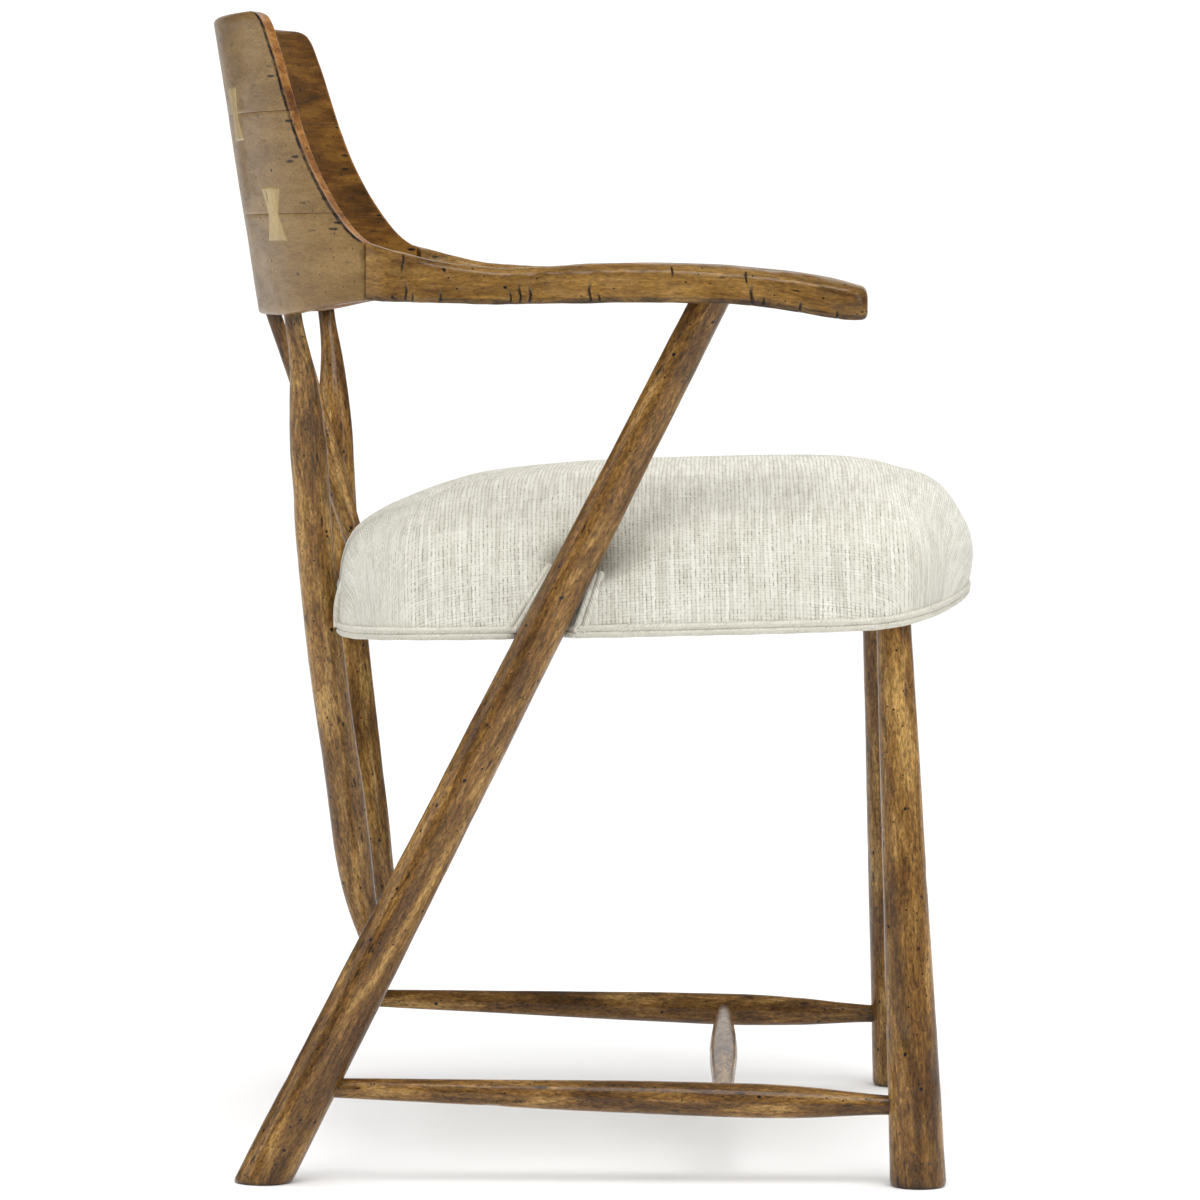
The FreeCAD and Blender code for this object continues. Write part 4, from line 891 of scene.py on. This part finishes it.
def leg_gap(p, clear):
    """How far a diagonal leg's way is cut into the seat's side: largest |x| allowed, and how near."""
    t = p[:, 2] / 630.0
    ax, ay = 235 + 29 * t, 233.8 - 319.6 * t
    r = (38.6 - 12.6 * (p[:, 2] + 24) / 662.0) / 2 + clear
    across = (p[:, 1] - ay) * 0.892
    near = np.abs(across) / r
    return np.where(near < 1, ax - np.sqrt(np.maximum(0, r * r - across ** 2)), 1e9), np.abs(across) - r, np.abs(np.abs(p[:, 0]) - ax)


def post_gap(p, clear):
    c = post_at(np.clip(p[:, 2], 160, 628))
    r = 13.4 + clear
    across = np.abs(p[:, 0]) - c[:, 0]
    return np.where(np.abs(across) < r, c[:, 1] - np.sqrt(np.maximum(0, r * r - across ** 2)), 1e9), np.abs(across) - r


def carve(p, clear=1.8):
    """Clears the ways for the diagonal legs and the back posts, in the part's frame."""
    p = p.copy()
    lim, _, _ = leg_gap(p, clear)
    x = np.abs(p[:, 0])
    hit = (x > lim) & (x > 200)
    p[hit, 0] = np.sign(p[hit, 0]) * lim[hit]
    lim, _ = post_gap(p, clear)
    hit = (p[:, 1] > lim) & (p[:, 1] > 150)
    p[hit, 1] = lim[hit]
    return p


FOLD = np.array([(0.0, 428.0, 13.0), (-9.0, 437.0, 13.0), (-18.0, 446.0, 11.5), (-40.5, 471.0, 9.5), (-60.0, 482.5, 8.0), (-101.0, 497.0, 6.0), (-137.0, 505.5, 4.0), (-176.0, 508.5, 1.2)])


def fold_near(p):
    """How far each point is from the valley that runs forward and up from each leg's way, and its depth there."""
    best, deep = np.full(len(p), 1e9), np.zeros(len(p))
    for a, b in zip(FOLD[:-1], FOLD[1:]):
        d = b[:2] - a[:2]
        t = np.clip(((p[:, 1:3] - a[:2]) @ d) / (d @ d), 0, 1)
        dist = np.linalg.norm(p[:, 1:3] - (a[:2] + t[:, None] * d), axis=1)
        closer = dist < best
        best = np.where(closer, dist, best)
        deep = np.where(closer, a[2] + (b[2] - a[2]) * t, deep)
    return best, deep


def leg_near(p):
    """Level distance from the middle of each diagonal leg, along the seat's side."""
    return (p[:, 1] - (233.8 - 319.6 * p[:, 2] / 630.0)) * 0.892


def folded(p):
    """The soft valleys in the cover, and the hollow where it is tucked in beside each leg."""
    out = p.copy()
    best, deep = fold_near(p)
    clear = smooth(p[:, 2], 432, 444)
    amount = 0.85 * deep * np.exp(-(best / 10.0) ** 2) * smooth(np.abs(p[:, 0]), 60, 150) * clear
    out[:, 0] -= np.sign(p[:, 0]) * amount * 0.8
    out[:, 2] -= amount * 0.5
    across = leg_near(p)
    hug = 9.5 * np.exp(-((np.abs(across) - 8) / 24.0) ** 2 - ((p[:, 2] - 450) / 25.0) ** 2) * smooth(np.abs(p[:, 0]), 150, 215) * clear
    out[:, 0] -= np.sign(p[:, 0]) * hug
    return out


def painted_fold_shade(p):
    """Painted shade on the cover: darker colour laid into the valleys and into the tuck beside each leg, where shade
    falls.
    """
    best, deep = fold_near(p)
    side = smooth(np.abs(p[:, 0]), 60, 150)
    valley = (0.018 + 0.016 * smooth(deep, 8, 12)) * deep * np.exp(-(best / 7.5) ** 2) * side * smooth(p[:, 2], 424, 440)
    across = leg_near(p)
    ahead = np.where(across < 0, 1.0, 0.7)
    tuck = 0.75 * ahead * np.exp(-(np.maximum(0, np.abs(across) - 15) / 7.0) ** 2 - ((p[:, 2] - 447) / 15.0) ** 2) * smooth(np.abs(p[:, 0]), 190, 225)
    return np.clip(np.maximum(valley, tuck), 0, 0.75)


COLS = 420
line = plan_line(COLS)
START = 1.5
rows = []
for z, inset in ((0.0, 7.0), (0.6, 3.0), (2.2, 1.0), (5.0, 0.0)):
    rows.append(np.column_stack([level(line, z, inset + 1.0), np.full(COLS, z)]))
for q in np.linspace(float(zeta(10)), 0.25, 58):
    z = TOP - q * q
    rows.append(np.column_stack([level(line, z, START * smooth(z, 8, 30) + 1.5 * smooth(z, 45, 80)), np.full(COLS, z - 4.5 * smooth(z, 60, 115))]))
body = np.array(rows)
flat = body.reshape(-1, 3)
faces = grid(len(rows), COLS)
at = {"pq": np.zeros((len(flat), 3))}
flat, faces, at = close_ring(flat, faces, at, 0, COLS, flat[:COLS].mean(0), (0.95, 0.9, 0.85, 0.8, 0.75, 0.6, 0.3))
flat = carve(seat_out(risen(flat)))
flat, faces, at = close_ring(flat, faces, at, (len(rows) - 1) * COLS, COLS, flat[(len(rows) - 1) * COLS:len(rows) * COLS].mean(0), ())


def plump(verts, faces):
    """Remeshes the seat evenly and swells it as cloth under pressure, held at its lower edge and at the
    ways for the legs. Gives the new vertices, in millimetres, and faces."""
    me = bpy.data.meshes.new("seat_rough")
    me.from_pydata((verts / 1000.0).tolist(), [], faces)
    bm = bmesh.new()
    bm.from_mesh(me)
    bmesh.ops.recalc_face_normals(bm, faces=bm.faces)
    bm.to_mesh(me)
    bm.free()
    ob = bpy.data.objects.new("seat_rough", me)
    SCENE.collection.objects.link(ob)
    mod = ob.modifiers.new("even", "REMESH")
    mod.mode, mod.voxel_size, mod.adaptivity = "VOXEL", 0.005, 0.0
    soft = ob.modifiers.new("ease", "SMOOTH")
    soft.factor, soft.iterations = 0.5, 3
    dg = bpy.context.evaluated_depsgraph_get()
    even = bpy.data.meshes.new_from_object(ob.evaluated_get(dg))
    bpy.data.objects.remove(ob)
    ob = bpy.data.objects.new("seat_rough", even)
    SCENE.collection.objects.link(ob)
    n = len(even.vertices)
    before = np.empty(n * 3, np.float32)
    even.vertices.foreach_get("co", before)
    before = before.reshape(-1, 3).astype(float) * 1000.0
    polys = [list(p.vertices) for p in even.polygons]
    after = before
    own = seat_in(before)
    _, near, side = leg_gap(before, 1.8)
    _, near_p = post_gap(before, 1.8)
    hold = 1 - smooth(own[:, 2] - RISE(np.clip(own[:, 1], -245, -140)), 9, 22)
    hold = np.maximum(hold, (1 - smooth(near, 1, 9)) * (np.abs(before[:, 0]) > 215) * (1 - smooth(before[:, 2], 436, 456)))
    hold = np.maximum(hold, (1 - smooth(near_p, 1, 7)) * (before[:, 1] > 165) * (1 - smooth(before[:, 2], 440, 470)))
    grp = ob.vertex_groups.new(name="held")
    for i in np.nonzero(hold > 0.01)[0].tolist():
        grp.add([i], float(hold[i]), "REPLACE")
    cl = ob.modifiers.new("swell", "CLOTH")
    st = cl.settings
    st.quality, st.mass = 5, 0.25
    st.tension_stiffness = st.compression_stiffness = 22.0
    st.shear_stiffness, st.bending_stiffness = 12.0, 0.6
    st.use_pressure, st.uniform_pressure_force = True, 4.0
    st.vertex_group_mass = "held"
    st.effector_weights.gravity = 0.0
    cl.collision_settings.use_collision = False
    cl.collision_settings.use_self_collision = False
    cl.point_cache.frame_start, cl.point_cache.frame_end = 1, 20
    for f in range(1, 21):
        SCENE.frame_set(f)
    dg = bpy.context.evaluated_depsgraph_get()
    done = bpy.data.meshes.new_from_object(ob.evaluated_get(dg))
    after = np.empty(n * 3, np.float32)
    done.vertices.foreach_get("co", after)
    after = after.reshape(-1, 3).astype(float) * 1000.0
    nrm = np.empty(n * 3, np.float32)
    even.vertex_normals.foreach_get("vector", nrm)
    nrm = nrm.reshape(-1, 3)
    move = after - before
    outward = (move * nrm).sum(1)
    move -= nrm * np.minimum(outward, 0)[:, None]
    size = np.linalg.norm(move, axis=1)
    cap = 5.0
    after = before + move * (cap * np.tanh(size / cap) / np.maximum(size, 1e-6))[:, None]
    print("seat swell mm: mean", round(float(size.mean()), 2), "max", round(float(size.max()), 2))
    bpy.data.meshes.remove(done)
    SCENE.frame_set(1)
    bpy.data.objects.remove(ob)
    bpy.data.meshes.remove(even)
    bpy.data.meshes.remove(me)
    return after, polys


flat, faces = plump(flat, faces)
flat = carve(folded(flat), 1.2)
own = seat_in(flat)
drop = np.maximum(0, TOP - own[:, 2])
facing_x, facing_y = (np.abs(own[:, 0]) / 255.0) ** 4, (np.abs(own[:, 1]) / 236.0) ** 4
turn = smooth(facing_y / (facing_x + facing_y + 1e-6), 0.3, 0.7)
ps = own[:, 1] + np.sign(own[:, 1]) * turn * smooth(np.abs(own[:, 1]), 150, 222) * drop
qs = own[:, 0] + np.sign(own[:, 0]) * (1 - turn) * smooth(np.abs(own[:, 0]), 165, 240) * drop
# the shade attribute is painted shade for the cover's folds and the tuck beside each leg
seat = piece("seat_cushion", flat, faces, {"pq": np.column_stack([ps, qs, np.zeros(len(flat))]) / 1000.0, "shade": painted_fold_shade(flat)}, LINEN, ["seat_cover", "seat_foam"], subdiv=1)


# ---------------------------------------------------------------- welts

def resample(points, step, closed):
    p = np.asarray(points, float)
    if closed:
        p = np.vstack([p, p[:1]])
    d = np.concatenate([[0], np.cumsum(np.linalg.norm(np.diff(p, axis=0), axis=1))])
    n = max(8, int(round(d[-1] / step)))
    s = np.linspace(0, d[-1], n, endpoint=not closed)
    return np.column_stack([np.interp(s, d, p[:, i]) for i in range(3)])


def relax(p, times, closed):
    p = p.copy()
    for _ in range(times):
        q = (np.roll(p, 1, 0) + 2 * p + np.roll(p, -1, 0)) / 4
        if not closed:
            q[0], q[-1] = p[0], p[-1]
        p = q
    return p


def cord_mesh(points, radius, closed, seed, flat=1.0, around=14):
    """A covered cord along the points: verts, faces and the cloth's place."""
    p = np.asarray(points, float)
    t = np.roll(p, -1, 0) - np.roll(p, 1, 0) if closed else np.gradient(p, axis=0)
    t /= np.linalg.norm(t, axis=1)[:, None]
    e1 = np.zeros_like(p)
    e = np.cross(t[0], (0, 0, 1.0) if abs(t[0, 2]) < 0.8 else (1.0, 0, 0))
    for i in range(len(p)):
        e = e - t[i] * (e @ t[i])
        e /= np.linalg.norm(e)
        e1[i] = e
    e2 = np.cross(t, e1)
    th = np.linspace(0, 2 * math.pi, around, endpoint=False)
    run = np.concatenate([[0], np.cumsum(np.linalg.norm(np.diff(p, axis=0), axis=1))])
    r = radius * (1 + 0.05 * np.sin(run * 0.21 + seed) + 0.04 * np.sin(run * 0.057 + 2 * seed))
    v = p[:, None] + r[:, None, None] * (np.cos(th)[None, :, None] * e1[:, None] * flat + np.sin(th)[None, :, None] * e2[:, None])
    n, m = len(p), around
    f = grid(n, m)
    if closed:
        for j in range(m):
            q = (j + 1) % m
            f.append([(n - 1) * m + j, (n - 1) * m + q, q, j])
    else:
        f.append(list(range(m))[::-1])
        f.append([(n - 1) * m + j for j in range(m)])
    pq = np.stack([np.repeat(run[:, None], m, 1) * 0.75 + radius * np.repeat(th[None], n, 0) * 0.75, radius * np.repeat(th[None], n, 0) * 0.75 - 0.75 * np.repeat(run[:, None], m, 1), np.zeros((n, m))], -1)
    return v.reshape(-1, 3), f, pq.reshape(-1, 3) / 1000.0


def join(parts):
    vs, fs, ps, at = [], [], [], 0
    for v, f, p in parts:
        vs.append(v)
        fs += [[i + at for i in face] for face in f]
        ps.append(p)
        at += len(v)
    return np.vstack(vs), fs, np.vstack(ps)


def skirt(z, out):
    """The seat's lower edge, kept clear of the legs and posts."""
    p = np.column_stack([level(line, z, 0.0), np.full(COLS, z)])
    nrm = np.roll(p[:, :2], -1, 0) - np.roll(p[:, :2], 1, 0)
    nrm = np.column_stack([nrm[:, 1], -nrm[:, 0]])
    nrm /= np.linalg.norm(nrm, axis=1)[:, None]
    nrm *= np.sign((nrm * (p[:, :2] - (0, 5))).sum(1))[:, None]
    p[:, :2] += nrm * out
    w = carve(seat_out(risen(p)), 3.4)
    return relax(resample(w, 2.5, True), 4, True)


edge_parts = [cord_mesh(skirt(7.2, -0.5), 2.5, True, 1), cord_mesh(skirt(2.9, -0.8), 2.5, True, 2)]
for sx in (-1.0, 1.0):
    beside = line[line[:, 0] > 150]
    beside = beside[np.argsort(beside[:, 1])]
    for sign, low_out, top_out, rad, top in ((1.0, 0.6, -3.0, 2.6, 442.0), (1.0, 5.4, -0.2, 2.4, 443.0), (-1.0, 4.4, -0.8, 2.8, 437.0), (-1.0, 9.8, 2.6, 2.7, 438.0)):
        way = []
        for t in np.linspace(0, 1, 18):
            z = 396.5 + (top - 396.5) * t
            ctr = diag_at(sx, z)
            r = (38.6 - 12.6 * (z + 24) / 662.0) / 2 + 1.4 + low_out + (top_out - low_out) * t
            y = ctr[1] + sign * r / 0.892
            loc = seat_in(np.array([ctr[0], y, z]))
            lim = float(np.interp(loc[1], beside[:, 1], beside[:, 0])) * float(HALF(zeta(max(loc[2], 10)))) / 255.0
            way.append((sx * (lim - 1.0 - 8.0 * t ** 4), y, z))
        edge_parts.append(cord_mesh(relax(resample(way, 2.0, False), 6, False), rad, False, 3 + sx))
    behind = line[(line[:, 1] > 150) & (line[:, 0] > 0)]
    behind = behind[np.argsort(behind[:, 0])]
    for sign in (1.0, -1.0):
        way = []
        for t in np.linspace(0, 1, 18):
            z = 393.0 + 42.0 * t
            x = post_at(z)[0] + sign * (17.5 + 4.0 * t ** 2)
            loc = seat_in(np.array([x, 190.0, z]))
            rear = float(np.interp(x, behind[:, 0], behind[:, 1]))
            y = -26 + (rear + 26) * float(REARW(zeta(max(loc[2], 10)))) / 269.5
            way.append((sx * x, seat_out(np.array([x, y + 0.6 - 9.0 * t ** 3, loc[2]]))[1], z))
        edge_parts.append(cord_mesh(relax(resample(way, 2.0, False), 3, False), 3.3, False, 6 + sx))
v, f, pq = join(edge_parts)
piece("seat_double_welt", v, f, {"pq": pq}, CORD_LINEN, ["seat_welt"])

# Dust cover: a thin cloth under the seat that sags a little and puckers at its edge.
cover, n = [], 160
ring = plan_line(n)
scales = np.linspace(1.0, 0.06, 22)
for layer in (0.0, 0.7):
    for s in scales:
        p = ring * ((235.0 / 255.0) * s, (228.0 / 243.0) * s)
        ang = np.arctan2(p[:, 1], p[:, 0])
        sag = -2.6 * (1 - s ** 2) + 0.5 * np.sin(ang * 46) * smooth(s, 0.82, 1.0) * (1 - smooth(s, 0.985, 1.0))
        cover.append(np.column_stack([p, 1.0 + sag - layer]))
m = len(scales) * n
cover = seat_out(risen(np.vstack(cover)))
faces = grid(len(scales), n) + [q[::-1] for q in grid(len(scales), n, True, m)]
faces += [[j, m + j, m + (j + 1) % n, (j + 1) % n] for j in range(n)]
faces += [[m - n + j for j in range(n)], [2 * m - n + j for j in range(n)][::-1]]
piece("seat_dust_cloth", cover, faces, {}, CAMBRIC, ["dust_cover"])


# ---------------------------------------------------------------- pieces that stay as they are

KEPT = {
    FRAME_WOOD: ["tier_dowels", "arm_dowels", "seat_front_rail", "seat_rear_rail", "seat_right_rail", "seat_left_rail", "seat_corner_blocks"],
    STEEL: ["corner_block_screws", "rail_bolts"],
    WEBBING: ["webbing_lengthwise", "webbing_crosswise"],
}
for mat, names in KEPT.items():
    for node in names:
        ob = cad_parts[node]
        ob.data.materials.clear()
        ob.data.materials.append(mat)


# ---------------------------------------------------------------- studio

def floor_material():
    n = Net("studio_floor")
    at = n.node("ShaderNodeTexCoord").outputs["Object"]
    soft = n.noise(at, (0.7, 0.7, 0.7), 2.0)
    col = n.mix(n.step(soft, 0.3, 0.7), lin(239, 239, 239), lin(242, 242, 242))
    return n.finish(col, n.step(soft, 0.3, 0.7, 0.8, 0.9), **{"Specular IOR Level": 0.0})


me = bpy.data.meshes.new("studio_floor")
me.from_pydata([(-14, -14, 0), (14, -14, 0), (14, 14, 0), (-14, 14, 0)], [], [(0, 1, 2, 3)])
me.materials.append(floor_material())
floor = bpy.data.objects.new("studio_floor", me)
SCENE.collection.objects.link(floor)

world = bpy.data.worlds.new("studio")
SCENE.world = world
world.use_nodes = True
wn = world.node_tree
wn.nodes.clear()
# white all round, with a dimmer room for reflections whose far wall is bright
path = wn.nodes.new("ShaderNodeLightPath")
facing = wn.nodes.new("ShaderNodeVectorMath")
facing.operation = "DOT_PRODUCT"
wn.links.new(wn.nodes.new("ShaderNodeTexCoord").outputs["Generated"], facing.inputs[0])
facing.inputs[1].default_value = Vector((1.0, 0.0, 0.12)).normalized()
room = wn.nodes.new("ShaderNodeMapRange")
room.interpolation_type = "SMOOTHSTEP"
for key, val in (("From Min", 0.90), ("From Max", 0.985), ("To Min", 0.12), ("To Max", 0.95)):
    room.inputs[key].default_value = val
wn.links.new(facing.outputs["Value"], room.inputs["Value"])
height = wn.nodes.new("ShaderNodeSeparateXYZ")
wn.links.new(facing.inputs[0].links[0].from_socket, height.inputs[0])
sky = wn.nodes.new("ShaderNodeMapRange")
for key, val in (("To Min", 0.40), ("To Max", 1.60)):
    sky.inputs[key].default_value = val
wn.links.new(height.outputs[2], sky.inputs["Value"])
amount = wn.nodes.new("ShaderNodeMapRange")
wn.links.new(sky.outputs["Result"], amount.inputs["To Min"])
wn.links.new(path.outputs["Is Glossy Ray"], amount.inputs["Value"])
wn.links.new(room.outputs["Result"], amount.inputs["To Max"])
seen = wn.nodes.new("ShaderNodeMapRange")
seen.inputs["To Max"].default_value = 1.10
wn.links.new(path.outputs["Is Camera Ray"], seen.inputs["Value"])
wn.links.new(amount.outputs["Result"], seen.inputs["To Min"])
bg = wn.nodes.new("ShaderNodeBackground")
bg.inputs["Color"].default_value = (1, 1, 1, 1)
wn.links.new(seen.outputs["Result"], bg.inputs["Strength"])
wo = wn.nodes.new("ShaderNodeOutputWorld")
wn.links.new(bg.outputs[0], wo.inputs["Surface"])


def softbox(name, at, aim, wide, tall, power):
    d = bpy.data.lights.new(name, "AREA")
    d.shape, d.size, d.size_y, d.energy = "RECTANGLE", wide, tall, power
    ob = bpy.data.objects.new(name, d)
    ob.location = at
    ob.rotation_euler = (Vector(aim) - Vector(at)).to_track_quat("-Z", "Y").to_euler()
    SCENE.collection.objects.link(ob)


softbox("overhead", (-1.5, -0.5, 2.8), (0, 0, 0.3), 1.7, 1.4, 36)
softbox("front_right", (-1.9, -3.1, 1.7), (0, 0, 0.5), 0.9, 2.4, 17)
softbox("rear_left", (-0.5, 3.4, 1.4), (0, 0, 0.6), 2.2, 2.2, 18)

cam = bpy.data.cameras.new("camera")
cam.sensor_width, cam.lens = 36.0, 164.37
eye = bpy.data.objects.new("camera", cam)
yaw, pitch = math.radians(1.3774), math.radians(3.5822)
look = Vector((math.cos(pitch) * math.cos(yaw), math.cos(pitch) * math.sin(yaw), -math.sin(pitch)))
eye.location = (-4.124, -0.102, 0.662)
eye.rotation_euler = look.to_track_quat("-Z", "Y").to_euler()
SCENE.collection.objects.link(eye)
SCENE.camera = eye
SCENE.view_settings.view_transform = "Standard"
